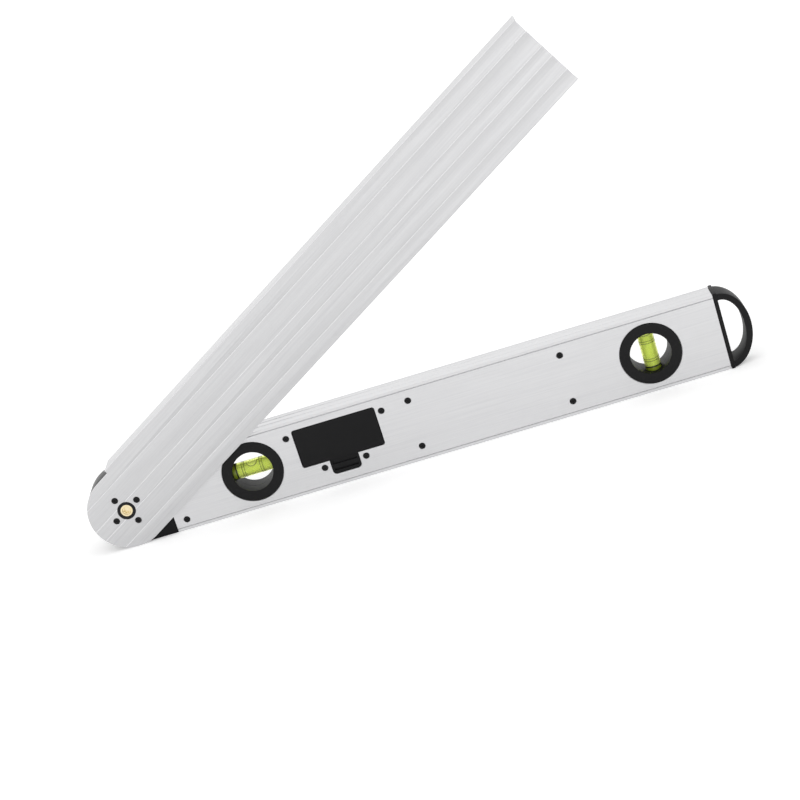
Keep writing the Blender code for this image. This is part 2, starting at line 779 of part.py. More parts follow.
def make_hub(finishes, frame):
    """The stepped hub: boss through the plate, flange under it and neck in the housing."""
    shoulder = ROTOR_BACK - FIT_GAP
    flange_front = HUB_FLANGE_BACK + HUB_FLANGE_THICKNESS
    boss_back = PLATE_OUTER - HUB_BOSS_PROUD
    neck_end = HALF_DEPTH - HUB_NECK_SETBACK
    bore = BOLT_SHAFT_RADIUS + FIT_GAP
    head_bore = BOLT_HEAD_RADIUS + FIT_GAP
    head_seat = PLATE_OUTER + BOLT_HEAD_LENGTH + FIT_GAP
    profile = [
        (bore, neck_end),
        (HUB_NECK_RADIUS, neck_end),
        (HUB_NECK_RADIUS, shoulder),
        (HUB_SHOULDER_RADIUS, shoulder),
        (HUB_SHOULDER_RADIUS, flange_front),
        (HUB_FLANGE_RADIUS, flange_front),
        (HUB_FLANGE_RADIUS, HUB_FLANGE_BACK),
        (HUB_BOSS_RADIUS, HUB_FLANGE_BACK),
        (HUB_BOSS_RADIUS, boss_back),
        (head_bore, boss_back),
        (head_bore, head_seat),
        (bore, head_seat),
    ]
    hub = add_object("rotor_hub", turned(profile, HUB_STEPS), finishes["black"], frame, smooth=True)
    holes = screw_holes(hub_screw_places(), PLATE_OUTER, HUB_SCREW_LENGTH)
    carve(hub, helper("hub_screw_cut", holes, frame))
    return hub


def make_pivot_bolt(finishes, frame):
    """The brass bolt that the knob pulls on."""
    head_front = PLATE_OUTER + BOLT_HEAD_LENGTH
    tip = KNOB_BASE + FIT_GAP + INSERT_LENGTH - BOLT_TIP_CLEARANCE
    profile = [
        (0, PLATE_OUTER),
        (BOLT_HEAD_RADIUS, PLATE_OUTER),
        (BOLT_HEAD_RADIUS, head_front),
        (BOLT_SHAFT_RADIUS, head_front),
        (BOLT_SHAFT_RADIUS, tip),
        (0, tip),
    ]
    bm = turned(profile, BOLT_STEPS)
    return add_object("pivot_bolt", bm, finishes["brass"], frame, smooth=True)


def make_swing_arm(finishes, frame):
    """The L section: a long plate with a round pivot end, and one flange along its top."""
    quarter = math.pi / 2
    outline = [(PLATE_LENGTH, -HALF_HEIGHT)]
    outline += arc((0, 0), HALF_HEIGHT, -quarter, -3 * quarter, CURVE_STEPS)
    outline += [
        (FLANGE_START, HALF_HEIGHT),
        (FLANGE_START, FLANGE_TOP),
        (PLATE_LENGTH, FLANGE_TOP),
    ]
    arm = add_object(
        "swing_arm", prism(outline, PLATE_OUTER, PLATE_INNER), finishes["aluminium"], frame
    )
    middle = (PLATE_OUTER + PLATE_INNER) / 2
    front = HALF_DEPTH - FLANGE_SETBACK
    flange = box(FLANGE_START, PLATE_LENGTH, FLANGE_UNDERSIDE, FLANGE_TOP, middle, front)
    fuse(arm, helper("swing_arm_flange", flange, frame))
    width = FLANGE_TOP + HALF_HEIGHT
    grooves = []
    for share in PLATE_GROOVE_SHARES:
        centre = FLANGE_TOP - share * width
        low = centre - PLATE_GROOVE_WIDTH / 2
        high = centre + PLATE_GROOVE_WIDTH / 2
        bottom = PLATE_OUTER + PLATE_GROOVE_DEPTH
        section = [
            (PLATE_OUTER - OVERRUN, low),
            (PLATE_OUTER, low),
            (bottom, centre),
            (PLATE_OUTER, high),
            (PLATE_OUTER - OVERRUN, high),
        ]
        grooves.append(prism(section, -HALF_HEIGHT - OVERRUN, PLATE_LENGTH + OVERRUN, "x"))
    carve(arm, helper("swing_arm_groove_cut", gather(grooves), frame))
    boss = HUB_BOSS_RADIUS + FIT_GAP
    back = PLATE_OUTER - OVERRUN
    hole = turned([(0, back), (boss, back), (boss, 0), (0, 0)], HUB_STEPS)
    carve(arm, helper("swing_arm_boss_cut", hole, frame))
    holes = screw_holes(hub_screw_places(), PLATE_OUTER, PLATE_THICKNESS + OVERRUN)
    carve(arm, helper("swing_arm_screw_cut", holes, frame))
    return arm


def lobed_ring(bm, radius, height, lobe_depth):
    """A ring of points whose radius rises and falls once a lobe."""
    count = KNOB_LOBES * KNOB_POINTS_PER_LOBE
    ring = []
    for index in range(count):
        angle = 2 * math.pi * index / count
        wave = math.cos(KNOB_LOBES * angle)
        drop = lobe_depth * (1 - wave) / 2
        reach = radius - drop
        ring.append(bm.verts.new((reach * math.cos(angle), height, reach * math.sin(angle))))
    return ring


def make_knob(finishes, frame):
    """The scalloped clamping knob, hollow underneath, with a dished face."""
    top = KNOB_BASE + KNOB_HEIGHT
    rounding = KNOB_ROUNDING
    dish_radius = KNOB_RADIUS - KNOB_LOBE_DEPTH - rounding - KNOB_RIM_WIDTH
    rim_radius = KNOB_RADIUS - KNOB_LOBE_DEPTH - rounding
    bm = bmesh.new()
    rings = [
        lobed_ring(bm, KNOB_RADIUS, KNOB_BASE, KNOB_LOBE_DEPTH),
        lobed_ring(bm, KNOB_RADIUS, top - rounding, KNOB_LOBE_DEPTH),
        lobed_ring(bm, KNOB_RADIUS - rounding / 3, top - rounding / 3, KNOB_LOBE_DEPTH / 2),
        lobed_ring(bm, rim_radius, top, 0),
        lobed_ring(bm, dish_radius, top - KNOB_DISH_DEPTH, 0),
    ]
    count = len(rings[0])
    for lower, upper in zip(rings, rings[1:]):
        for index in range(count):
            after = (index + 1) % count
            bm.faces.new((lower[index], lower[after], upper[after], upper[index]))
    bm.faces.new(rings[0])
    bm.faces.new(rings[-1])
    knob = add_object("clamp_knob", bm, finishes["knob"], frame, smooth=True)
    hollow_radius = KNOB_RADIUS - KNOB_LOBE_DEPTH - KNOB_WALL
    hollow_end = top - KNOB_TOP
    below = KNOB_BASE - OVERRUN
    ring_hollow = turned(
        [
            (KNOB_BOSS_RADIUS, below),
            (hollow_radius, below),
            (hollow_radius, hollow_end),
            (KNOB_BOSS_RADIUS, hollow_end),
        ],
        CURVE_STEPS,
    )
    insert_radius = INSERT_RADIUS + FIT_GAP
    insert_end = KNOB_BASE + INSERT_LENGTH + 2 * FIT_GAP
    insert_hole = turned(
        [(0, below), (insert_radius, below), (insert_radius, insert_end), (0, insert_end)],
        BOLT_STEPS,
    )
    carve(knob, helper("knob_cut", gather([ring_hollow, insert_hole]), frame))
    return knob


def make_knob_insert(finishes, frame):
    """The threaded brass insert in the knob."""
    inner = BOLT_SHAFT_RADIUS + FIT_GAP
    low = KNOB_BASE + FIT_GAP
    high = low + INSERT_LENGTH
    profile = [(inner, low), (INSERT_RADIUS, low), (INSERT_RADIUS, high), (inner, high)]
    bm = turned(profile, BOLT_STEPS)
    return add_object("knob_insert", bm, finishes["brass"], frame, smooth=True)


def make_thrust_washer(finishes, frame):
    """The steel washer under the knob."""
    inner = BOLT_SHAFT_RADIUS + FIT_GAP
    low = HALF_DEPTH + FIT_GAP
    high = low + WASHER_THICKNESS
    profile = [(inner, low), (WASHER_RADIUS, low), (WASHER_RADIUS, high), (inner, high)]
    bm = turned(profile, HUB_STEPS)
    return add_object("thrust_washer", bm, finishes["steel"], frame, smooth=True)


def make_end_cap(finishes, frame):
    """The black end cap: a plate, a tongue inside the arm and a hand loop outside it."""
    start = ARM_END + FIT_GAP
    end = start + CAP_THICKNESS
    half_y = HALF_DEPTH + CAP_OVERHANG
    high = HALF_HEIGHT + CAP_TOP_OVERHANG
    plate = chamfered(-half_y, half_y, -HALF_HEIGHT, high, EDGE_CHAMFER)
    cap = add_object("end_cap_handle", prism(plate, start, end, "x"), finishes["black"], frame)
    middle = (start + end) / 2
    outer = loop_outline(middle, LOOP_REACH + end - middle, LOOP_HALF_HEIGHT)
    bm = prism(outer, -LOOP_ROOT_DEPTH / 2, LOOP_ROOT_DEPTH / 2)
    narrowing = (LOOP_APEX_DEPTH - LOOP_ROOT_DEPTH) / LOOP_ROOT_DEPTH
    for vert in bm.verts:
        vert.co.y *= 1 + narrowing * (vert.co.x - end) / LOOP_REACH
    rims = [edge for edge in bm.edges if edge.verts[0].co.y * edge.verts[1].co.y > 0]
    rims = [edge for edge in rims if max(v.co.x for v in edge.verts) > end]
    bmesh.ops.bevel(bm, geom=rims, offset=LOOP_CHAMFER, segments=1, affect="EDGES")
    fuse(cap, helper("end_cap_loop", bm, frame))
    inner_height = LOOP_HALF_HEIGHT - LOOP_BAR
    inner = loop_outline(end, LOOP_REACH - LOOP_BAR, inner_height)
    carve(cap, helper("end_cap_loop_cut", prism(inner, -half_y, half_y), frame))
    deep = INNER_DEPTH - FIT_GAP
    tall = INNER_HEIGHT - FIT_GAP
    tongue_start = start - CAP_TONGUE
    tongue = box(tongue_start, middle, -tall, tall, -deep, deep)
    fuse(cap, helper("end_cap_tongue", tongue, frame))
    wall = CAP_TONGUE_WALL
    hollow = box(tongue_start - OVERRUN, start, wall - tall, tall - wall, wall - deep, deep - wall)
    carve(cap, helper("end_cap_tongue_cut", hollow, frame))
    return cap


def loop_outline(base, reach, half):
    """Half an ellipse that stands on the end cap's plate."""
    quarter = math.pi / 2
    turn = arc((0, 0), 1, -quarter, quarter, LOOP_STEPS)
    return [(base + reach * x, half * z) for x, z in turn]


def make_ring(name, place, faces_front, finishes, frame):
    """One half of a vial's ring: a flange on the arm's face and a barrel to mid-depth."""
    seat = HALF_DEPTH - (FRONT_RING_SEAT if faces_front else BACK_RING_SEAT) + FIT_GAP
    face = seat + RING_FLANGE
    middle = FIT_GAP / 2
    profile = [
        (RING_BORE_RADIUS, middle),
        (RING_BORE_RADIUS, face - RING_CHAMFER),
        (RING_BORE_RADIUS + RING_CHAMFER, face),
        (RING_RADIUS - RING_CHAMFER, face),
        (RING_RADIUS, face - RING_CHAMFER),
        (RING_RADIUS, seat),
        (RING_BARREL_RADIUS, seat),
        (RING_BARREL_RADIUS, middle),
    ]
    turn = (0, 0, 0 if faces_front else math.pi)
    bm = turned(profile, CURVE_STEPS)
    return add_object(name, bm, finishes["black"], frame, (place, 0, 0), turn, smooth=True)


def along_x(bm):
    """The same shape with its y axis turned to x."""
    for vert in bm.verts:
        x, y, z = vert.co
        vert.co = (y, -x, z)
    return bm


def along_z(bm):
    """The same shape with its y axis turned to z."""
    for vert in bm.verts:
        x, y, z = vert.co
        vert.co = (x, -z, y)
    return bm


def make_vial(kind, place, turn, bubble_place, finishes, frame):
    """A vial: an acrylic tube closed at one end, its plug, and the spirit with its bubble."""
    half = VIAL_LENGTH / 2
    bore = VIAL_RADIUS - VIAL_WALL
    tube = [
        (0, -half),
        (VIAL_RADIUS, -half),
        (VIAL_RADIUS, half),
        (bore, half),
        (bore, VIAL_WALL - half),
        (0, VIAL_WALL - half),
    ]
    place = (place, 0, 0)
    bm = turn(turned(tube, VIAL_STEPS))
    add_object(f"{kind}_vial_tube", bm, finishes["acrylic"], frame, place, smooth=True)
    inside = bore - FIT_GAP
    plug_end = half - FIT_GAP
    plug_start = plug_end - VIAL_PLUG
    plug = [(0, plug_start), (inside, plug_start), (inside, plug_end), (0, plug_end)]
    bm = turn(turned(plug, VIAL_STEPS))
    add_object(f"{kind}_vial_plug", bm, finishes["acrylic"], frame, place, smooth=True)
    low = VIAL_WALL - half + FIT_GAP
    high = plug_start - FIT_GAP
    spirit = [(0, low), (inside, low), (inside, high), (0, high)]
    bm = turn(turned(spirit, VIAL_STEPS))
    liquid = add_object(f"{kind}_vial_spirit", bm, finishes["spirit"], frame, place, smooth=True)
    half_bubble = BUBBLE_LENGTH / 2
    outline = arc((0, 0), 1, -math.pi / 2, math.pi / 2, BUBBLE_STEPS // 2)
    points = [(BUBBLE_RADIUS * x, half_bubble * z) for x, z in outline]
    points[0] = (0, -half_bubble)
    points[-1] = (0, half_bubble)
    bubble = turn(turned(points, BUBBLE_STEPS))
    where = (place[0], 0, bubble_place)
    carve(liquid, helper(f"{kind}_bubble_cut", bubble, frame, where))


def make_vials(finishes, frame):
    """The level vial lies along the arm and the plumb vial across it, each in two rings."""
    seat = VIAL_RADIUS + FIT_GAP
    reach = RING_BARREL_RADIUS + OVERRUN
    seat_profile = [(0, -reach), (seat, -reach), (seat, reach), (0, reach)]
    bore = VIAL_RADIUS - VIAL_WALL
    top = VIAL_LENGTH / 2 - VIAL_PLUG - 2 * FIT_GAP
    vials = (
        ("level", LEVEL_VIAL_PLACE, along_x, bore - FIT_GAP),
        ("plumb", PLUMB_VIAL_PLACE, along_z, top),
    )
    for kind, place, turn, bubble_place in vials:
        front = make_ring(f"{kind}_ring_front", place, True, finishes, frame)
        back = make_ring(f"{kind}_ring_back", place, False, finishes, frame)
        cut = turn(turned(seat_profile, VIAL_STEPS))
        cutter = helper(f"{kind}_seat_cut", cut, frame, (place, 0, 0))
        carve(front, cutter)
        carve(back, cutter)
        make_vial(kind, place, turn, bubble_place, finishes, frame)


def button_outline(x, z, leans_down, spread):
    """A leaning parallelogram with its corners cut off, or the same spread by a clearance."""
    half_width = BUTTON_WIDTH / 2 + spread
    half_height = BUTTON_HEIGHT / 2 + spread
    lean = BUTTON_SLANT / 2 * (1 if leans_down else -1)
    square = chamfered(-half_width, half_width, -half_height, half_height, BUTTON_CORNER)
    return [(x + px + lean * pz / half_height, z + pz) for px, pz in square]


def make_button(name, x, z, leans_down, material, frame):
    """A button: its cap through the bezel, the flange that keeps it in, and its stem."""
    centre = (x, BEZEL_BACK - FIT_GAP - BUTTON_FLANGE_THICKNESS, z)
    outline = button_outline(0, 0, leans_down, BUTTON_FLANGE)
    bm = prism(outline, 0, BUTTON_FLANGE_THICKNESS)
    bmesh.ops.recalc_face_normals(bm, faces=bm.faces)
    top = max(bm.faces, key=lambda face: face.calc_center_median().y)
    bottom = min(bm.faces, key=lambda face: face.calc_center_median().y)
    bmesh.ops.inset_region(bm, faces=[top], thickness=BUTTON_FLANGE)
    rise = PANEL_FACE + BUTTON_PROUD - centre[1] - BUTTON_FLANGE_THICKNESS
    raise_face(bm, top, rise - BUTTON_EDGE)
    top = max(bm.faces, key=lambda face: face.calc_center_median().y)
    bmesh.ops.inset_region(bm, faces=[top], thickness=BUTTON_EDGE, depth=BUTTON_EDGE)
    bmesh.ops.inset_region(bm, faces=[bottom], thickness=BUTTON_STEM_INSET)
    raise_face(bm, bottom, -BUTTON_STEM_LENGTH)
    return add_object(name, bm, material, frame, centre)


def raise_face(bm, face, distance):
    """Extrudes one face along y and drops the face that it leaves behind."""
    made = bmesh.ops.extrude_face_region(bm, geom=[face])
    moved = [item for item in made["geom"] if isinstance(item, bmesh.types.BMVert)]
    bmesh.ops.translate(bm, verts=moved, vec=Vector((0, distance, 0)))
    if face.is_valid:
        bmesh.ops.delete(bm, geom=[face], context="FACES_ONLY")


def button_places():
    """Name, place, lean and finish of each button."""
    return (
        ("power_button", BUTTON_FAR_COLUMN, BUTTON_HIGH_ROW, True, "grey_key"),
        ("hold_button", BUTTON_NEAR_COLUMN, BUTTON_HIGH_ROW, True, "red_key"),
        ("mode_button", BUTTON_FAR_COLUMN, BUTTON_LOW_ROW, False, "grey_key"),
        ("sides_button", BUTTON_NEAR_COLUMN, BUTTON_LOW_ROW, False, "grey_key"),
    )


def make_bezel(finishes, frame):
    """The eight-sided display bezel, with its skirt, sunken panels, window and key holes."""
    bm = prism(bezel_outline(0), BEZEL_BACK, BEZEL_FRONT)
    rim = [edge for edge in bm.edges if all(v.co.y > BEZEL_FRONT - WELD for v in edge.verts)]
    bmesh.ops.bevel(bm, geom=rim, offset=BEZEL_EDGE, segments=1, affect="EDGES")
    bezel = add_object("display_bezel", bm, finishes["black"], frame)
    skirt = prism(bezel_outline(BEZEL_SKIRT_INSET), SKIRT_END, BEZEL_BACK + BEZEL_THICKNESS / 3)
    fuse(bezel, helper("bezel_skirt", skirt, frame))
    inside = bezel_outline(BEZEL_SKIRT_INSET + BEZEL_SKIRT_WALL)
    hollow = prism(inside, SKIRT_END - OVERRUN, BEZEL_BACK)
    carve(bezel, helper("bezel_hollow_cut", hollow, frame))
    half = PANEL_HEIGHT / 2
    front = BEZEL_FRONT + OVERRUN
    panels = [
        prism(chamfered(start, end, -half, half, PANEL_CORNER), PANEL_FACE, front)
        for start, end in ((LCD_PANEL_START, LCD_PANEL_END), (KEY_PANEL_START, KEY_PANEL_END))
    ]
    carve(bezel, helper("bezel_panel_cut", gather(panels), frame))
    back = BEZEL_BACK - OVERRUN
    window = rectangle(WINDOW_START, WINDOW_END, WINDOW_LOW, WINDOW_HIGH)
    holes = [prism(window, back, front)]
    for _, x, z, leans_down, _ in button_places():
        holes.append(prism(button_outline(x, z, leans_down, FIT_GAP), back, front))
    carve(bezel, helper("bezel_hole_cut", gather(holes), frame))
    return bezel


def make_display(finishes, frame):
    """The pane, the LCD and its backlight behind the bezel's window."""
    start = WINDOW_START - PANE_MARGIN
    end = WINDOW_END + PANE_MARGIN
    low = WINDOW_LOW - PANE_MARGIN
    high = WINDOW_HIGH + PANE_MARGIN
    layers = (
        ("display_window", PANE_FRONT, PANE_THICKNESS, "window"),
        ("lcd_panel", LCD_FRONT, LCD_THICKNESS, "lcd"),
        ("backlight", BACKLIGHT_FRONT, BACKLIGHT_THICKNESS, "diffuser"),
    )
    for name, front, thickness, kind in layers:
        layer = box(start, end, low, high, front - thickness, front)
        add_object(name, layer, finishes[kind], frame)


def make_board(finishes, frame):
    """The main circuit board behind the display."""
    half = BEZEL_HEIGHT / 2 - BEZEL_SKIRT_INSET
    outline = rectangle(BEZEL_START + BOARD_MARGIN, BEZEL_END - BOARD_MARGIN, -half, half)
    bm = prism(outline, BOARD_BACK, BOARD_FRONT)
    return add_object("circuit_board", bm, finishes["board"], frame)


def make_mat(finishes, frame):
    """The rubber mat with a dome under each button."""
    reach_x = BUTTON_WIDTH / 2 + BUTTON_SLANT / 2
    reach_z = BUTTON_HEIGHT / 2 + MAT_MARGIN
    back = BOARD_FRONT + FIT_GAP
    front = back + MAT_THICKNESS
    outline = chamfered(
        BUTTON_NEAR_COLUMN - reach_x,
        BUTTON_FAR_COLUMN + reach_x,
        BUTTON_LOW_ROW - reach_z,
        BUTTON_HIGH_ROW + reach_z,
        MAT_MARGIN,
    )
    mat = add_object("button_mat", prism(outline, back, front), finishes["rubber"], frame)
    middle = (back + front) / 2
    top = front + MAT_DOME_HEIGHT
    profile = [
        (0, middle),
        (MAT_DOME_RADIUS, middle),
        (MAT_DOME_RADIUS, front),
        (MAT_DOME_RADIUS - MAT_DOME_HEIGHT, top),
        (0, top),
    ]
    domes = [shifted(turned(profile, SMALL_STEPS), (x, 0, z)) for _, x, z, _, _ in button_places()]
    fuse(mat, helper("mat_domes", gather(domes), frame))
    return mat


def make_chassis(finishes, frame):
    """The carrier behind the board, held to the back wall through four long bosses."""
    rail_inner = BEZEL_HEIGHT / 2 - BEZEL_SKIRT_INSET + CHASSIS_RAIL_CLEARANCE
    rail_outer = rail_inner + CHASSIS_RAIL
    deep = INNER_DEPTH - FIT_GAP
    plate = box(
        CHASSIS_START, CHASSIS_END, -rail_outer, rail_outer, CHASSIS_BACK, CHASSIS_FRONT
    )
    chassis = add_object("display_chassis", plate, finishes["black"], frame)
    middle = (CHASSIS_BACK + CHASSIS_FRONT) / 2
    rails = [
        box(CHASSIS_START, CHASSIS_END, low, high, middle, deep)
        for low, high in ((rail_inner, rail_outer), (-rail_outer, -rail_inner))
    ]
    fuse(chassis, helper("chassis_rails", gather(rails), frame))
    boss = [(0, -deep), (CHASSIS_BOSS_RADIUS, -deep), (CHASSIS_BOSS_RADIUS, middle), (0, middle)]
    places = display_screw_places()
    bosses = [shifted(turned(boss, SMALL_STEPS), (x, 0, z)) for x, z in places]
    fuse(chassis, helper("chassis_bosses", gather(bosses), frame))
    holes = screw_holes(places, -HALF_DEPTH, DISPLAY_SCREW_LENGTH)
    carve(chassis, helper("chassis_screw_cut", holes, frame))
    return chassis


def make_cover(finishes, frame):
    """The battery cover, with its latch tab, two lugs at the top and the latch tongue."""
    hinge = (COVER_START + COVER_END) / 2, -HALF_DEPTH, COVER_HIGH
    back = (-hinge[0], -hinge[1], -hinge[2])
    body, tab = cover_outline(0)
    plate = shifted(prism(body, -HALF_DEPTH, COVER_INNER), back)
    cover = add_object("battery_cover", plate, finishes["black"], frame, hinge)
    tab_shape = shifted(prism(tab, -HALF_DEPTH, COVER_INNER), back)
    fuse(cover, helper("cover_tab", tab_shape, frame, hinge))
    low = COVER_LOW - LATCH_DROP
    first, last = (low + share * LATCH_DROP for share in LATCH_HOLLOW_SHARES)
    middle = low + LATCH_RIDGE_SHARE * LATCH_DROP
    half_ridge = LATCH_RIDGE_WIDTH_SHARE * LATCH_DROP / 2
    inset = COVER_CORNER
    bottom = LATCH_HOLLOW_DEPTH - HALF_DEPTH
    outside = -HALF_DEPTH - OVERRUN
    hollows = [
        box(LATCH_START + inset, LATCH_END - inset, from_z, to_z, outside, bottom)
        for from_z, to_z in ((first, middle - half_ridge), (middle + half_ridge, last))
    ]
    carve(cover, helper("cover_grip_cut", shifted(gather(hollows), back), frame, hinge))
    tongue_z = low + LATCH_TONGUE_SHARE * LATCH_DROP
    tongue_x = (LATCH_START + LATCH_END) / 2
    half_tongue = LATCH_TONGUE_WIDTH / 2
    inside = (bottom + COVER_INNER) / 2
    extras = [
        box(
            tongue_x - half_tongue,
            tongue_x + half_tongue,
            tongue_z,
            tongue_z + LATCH_TONGUE_THICKNESS,
            inside,
            COVER_INNER + LATCH_TONGUE_LENGTH,
        )
    ]
    lug_front = COVER_INNER + FIT_GAP + LUG_THICKNESS
    section = [
        (COVER_INNER - FIT_GAP, COVER_HIGH - LUG_REACH),
        (lug_front, COVER_HIGH - LUG_REACH),
        (lug_front, COVER_HIGH + LUG_REACH),
        (COVER_INNER + FIT_GAP, COVER_HIGH + LUG_REACH),
        (COVER_INNER + FIT_GAP, COVER_HIGH - FIT_GAP),
        (COVER_INNER - FIT_GAP, COVER_HIGH - FIT_GAP),
    ]
    extras += [prism(section, start, end, "x") for start, end in lug_spans(0)]
    fuse(cover, helper("cover_catches", shifted(gather(extras), back), frame, hinge))
    return cover


def lug_spans(spread):
    """Where the cover's two lugs start and end along the arm."""
    half = LUG_WIDTH / 2 + spread
    width = COVER_END - COVER_START
    centres = [COVER_START + share * width for share in LUG_PLACE_SHARES]
    return [(centre - half, centre + half) for centre in centres]


def make_tray(finishes, frame):
    """The battery tray: a deep box for two cells, a flange on the back wall and bosses."""
    flange = box(
        TRAY_FLANGE_START,
        TRAY_FLANGE_END,
        TRAY_FLANGE_LOW,
        TRAY_FLANGE_HIGH,
        TRAY_BACK,
        TRAY_BACK + TRAY_FLANGE_THICKNESS,
    )
    tray = add_object("battery_tray", flange, finishes["black"], frame)
    well = box(
        CAVITY_START - TRAY_WALL,
        CAVITY_END + TRAY_WALL,
        CAVITY_LOW - TRAY_WALL,
        CAVITY_HIGH + TRAY_WALL,
        TRAY_BACK + TRAY_FLANGE_THICKNESS / 2,
        TRAY_BACK + TRAY_DEPTH,
    )
    fuse(tray, helper("tray_well", well, frame))
    pocket_front = TRAY_BACK + LATCH_POCKET_DEPTH
    pocket = [
        LATCH_START - TRAY_WALL,
        LATCH_END + TRAY_WALL,
        TRAY_FLANGE_LOW,
        CAVITY_LOW - TRAY_WALL / 2,
        TRAY_BACK + TRAY_FLANGE_THICKNESS / 2,
        pocket_front + TRAY_WALL / 2,
    ]
    fuse(tray, helper("tray_latch_wall", box(*pocket), frame))
    boss_low = TRAY_BACK + TRAY_FLANGE_THICKNESS / 2
    boss_high = TRAY_BACK + TRAY_FLANGE_THICKNESS + TRAY_BOSS_LENGTH
    radius = TRAY_BOSS_RADIUS
    boss = [(0, boss_low), (radius, boss_low), (radius, boss_high), (0, boss_high)]
    bosses = [shifted(turned(boss, SMALL_STEPS), (x, 0, z)) for x, z in tray_screw_places()]
    fuse(tray, helper("tray_bosses", gather(bosses), frame))
    outside = TRAY_BACK - OVERRUN
    cavity = box(CAVITY_START, CAVITY_END, CAVITY_LOW, CAVITY_HIGH, outside, TRAY_FLOOR)
    carve(tray, helper("tray_cavity_cut", cavity, frame))
    latch_low = COVER_LOW - LATCH_DROP - FIT_GAP
    latch_cut = box(
        LATCH_START - FIT_GAP,
        LATCH_END + FIT_GAP,
        latch_low - LATCH_POCKET_CLEARANCE,
        CAVITY_LOW - TRAY_WALL,
        outside,
        pocket_front,
    )
    carve(tray, helper("tray_latch_cut", latch_cut, frame))
    clear = LUG_NOTCH_CLEARANCE
    notch_front = TRAY_BACK + TRAY_FLANGE_THICKNESS + clear
    notches = [
        box(start, end, CAVITY_HIGH - OVERRUN, COVER_HIGH + LUG_REACH + clear, outside, notch_front)
        for start, end in lug_spans(clear)
    ]
    carve(tray, helper("tray_notch_cut", gather(notches), frame))
    holes = screw_holes(tray_screw_places(), -HALF_DEPTH, TRAY_SCREW_LENGTH)
    carve(tray, helper("tray_screw_cut", holes, frame))
    return tray


def make_cells(finishes, frame):
    """Two cells side by side and head to tail, each with a plate and a spring contact."""
    half = CELL_LENGTH / 2
    profile = [
        (0, -half),
        (CELL_RADIUS, -half),
        (CELL_RADIUS, half),
        (CELL_NUB_RADIUS, half),
        (CELL_NUB_RADIUS, half + CELL_NUB_LENGTH),
        (0, half + CELL_NUB_LENGTH),
    ]
    start = CAVITY_START + FIT_GAP
    plate_reach = CONTACT_THICKNESS + FIT_GAP + CELL_NUB_LENGTH + half
    lowest = CAVITY_LOW + CELL_SPACING + CELL_RADIUS
    heights = (lowest, lowest + 2 * CELL_RADIUS + CELL_SPACING)
    names = ("lower", "upper")
    sides = (1, -1)
    for name, height, side in zip(names, heights, sides):
        wall = start if side > 0 else CAVITY_END - FIT_GAP
        centre = (wall + side * plate_reach, CELL_DEPTH, height)
        turn = (0, 0, math.pi if side > 0 else 0)
        bm = along_x(turned(profile, CELL_STEPS))
        add_object(f"{name}_cell", bm, finishes["wrapper"], frame, centre, turn, smooth=True)
        make_contact(name, wall, side, height, finishes, frame)
        other_wall = CAVITY_END - FIT_GAP if side > 0 else start
        make_spring(name, other_wall, -side, height, finishes, frame)


def make_contact(name, wall, side, height, finishes, frame):
    """The flat contact at a cell's nub."""
    half = CONTACT_SIZE / 2
    near, far = sorted((wall, wall + side * CONTACT_THICKNESS))
    bm = box(near, far, height - half, height + half, CELL_DEPTH - half, CELL_DEPTH + half)
    add_object(f"{name}_contact_plate", bm, finishes["steel"], frame)


def make_spring(name, wall, side, height, finishes, frame):
    """The conical contact spring at a cell's flat end."""
    count = SPRING_TURNS * SPRING_POINTS_PER_TURN
    climb = SPRING_LENGTH - 2 * SPRING_WIRE_RADIUS
    points = []
    for index in range(count + 1):
        share = index / count
        angle = 2 * math.pi * SPRING_TURNS * share
        radius = SPRING_WIDE_RADIUS + (SPRING_NARROW_RADIUS - SPRING_WIDE_RADIUS) * share
        along = side * (SPRING_WIRE_RADIUS + climb * share)
        points.append((along, radius * math.cos(angle), radius * math.sin(angle)))
    add_wire(f"{name}_contact_spring", points, SPRING_WIRE_RADIUS, finishes["steel"], frame, 1)
    bpy.data.objects[f"{name}_contact_spring"].location = (wall, CELL_DEPTH, height)


def add_wire(name, points, radius, material, frame, resolution):
    """A round wire along a list of points, with its ends filled."""
    curve = bpy.data.curves.new(name, "CURVE")
    curve.dimensions = "3D"
    curve.bevel_depth = radius
    curve.bevel_resolution = resolution
    curve.use_fill_caps = True
    spline = curve.splines.new("POLY")
    spline.points.add(len(points) - 1)
    for spot, point in zip(spline.points, points):
        spot.co = (*point, 1)
    curve.materials.append(material)
    obj = bpy.data.objects.new(name, curve)
    bpy.context.collection.objects.link(obj)
    obj.parent = frame
    return obj


def make_ribbon(finishes, frame):
    """The flat cable along the arm's floor, from the sensor board to the main board."""
    start = POCKET_RADIUS - FIT_GAP
    end = BEZEL_START + BOARD_MARGIN + RIBBON_WIDTH / 2
    floor = RIBBON_LOW_INSET - INNER_HEIGHT
    board_edge = BEZEL_SKIRT_INSET - BEZEL_HEIGHT / 2 - FIT_GAP - RIBBON_THICKNESS
    first, second, third, fourth = (start + share * (end - start) for share in RIBBON_PLACE_SHARES)
    tongue_low = floor / 2
    lower = [
        (start, -RIBBON_THICKNESS),
        (first, tongue_low),
        (second, floor),
        (third, floor),
        (fourth, board_edge),
    ]
    upper = [(x, z + RIBBON_THICKNESS) for x, z in reversed(lower)]
    bm = prism(lower + upper, RIBBON_FRONT - RIBBON_WIDTH, RIBBON_FRONT)
    return add_object("sensor_ribbon", bm, finishes["ribbon"], frame)


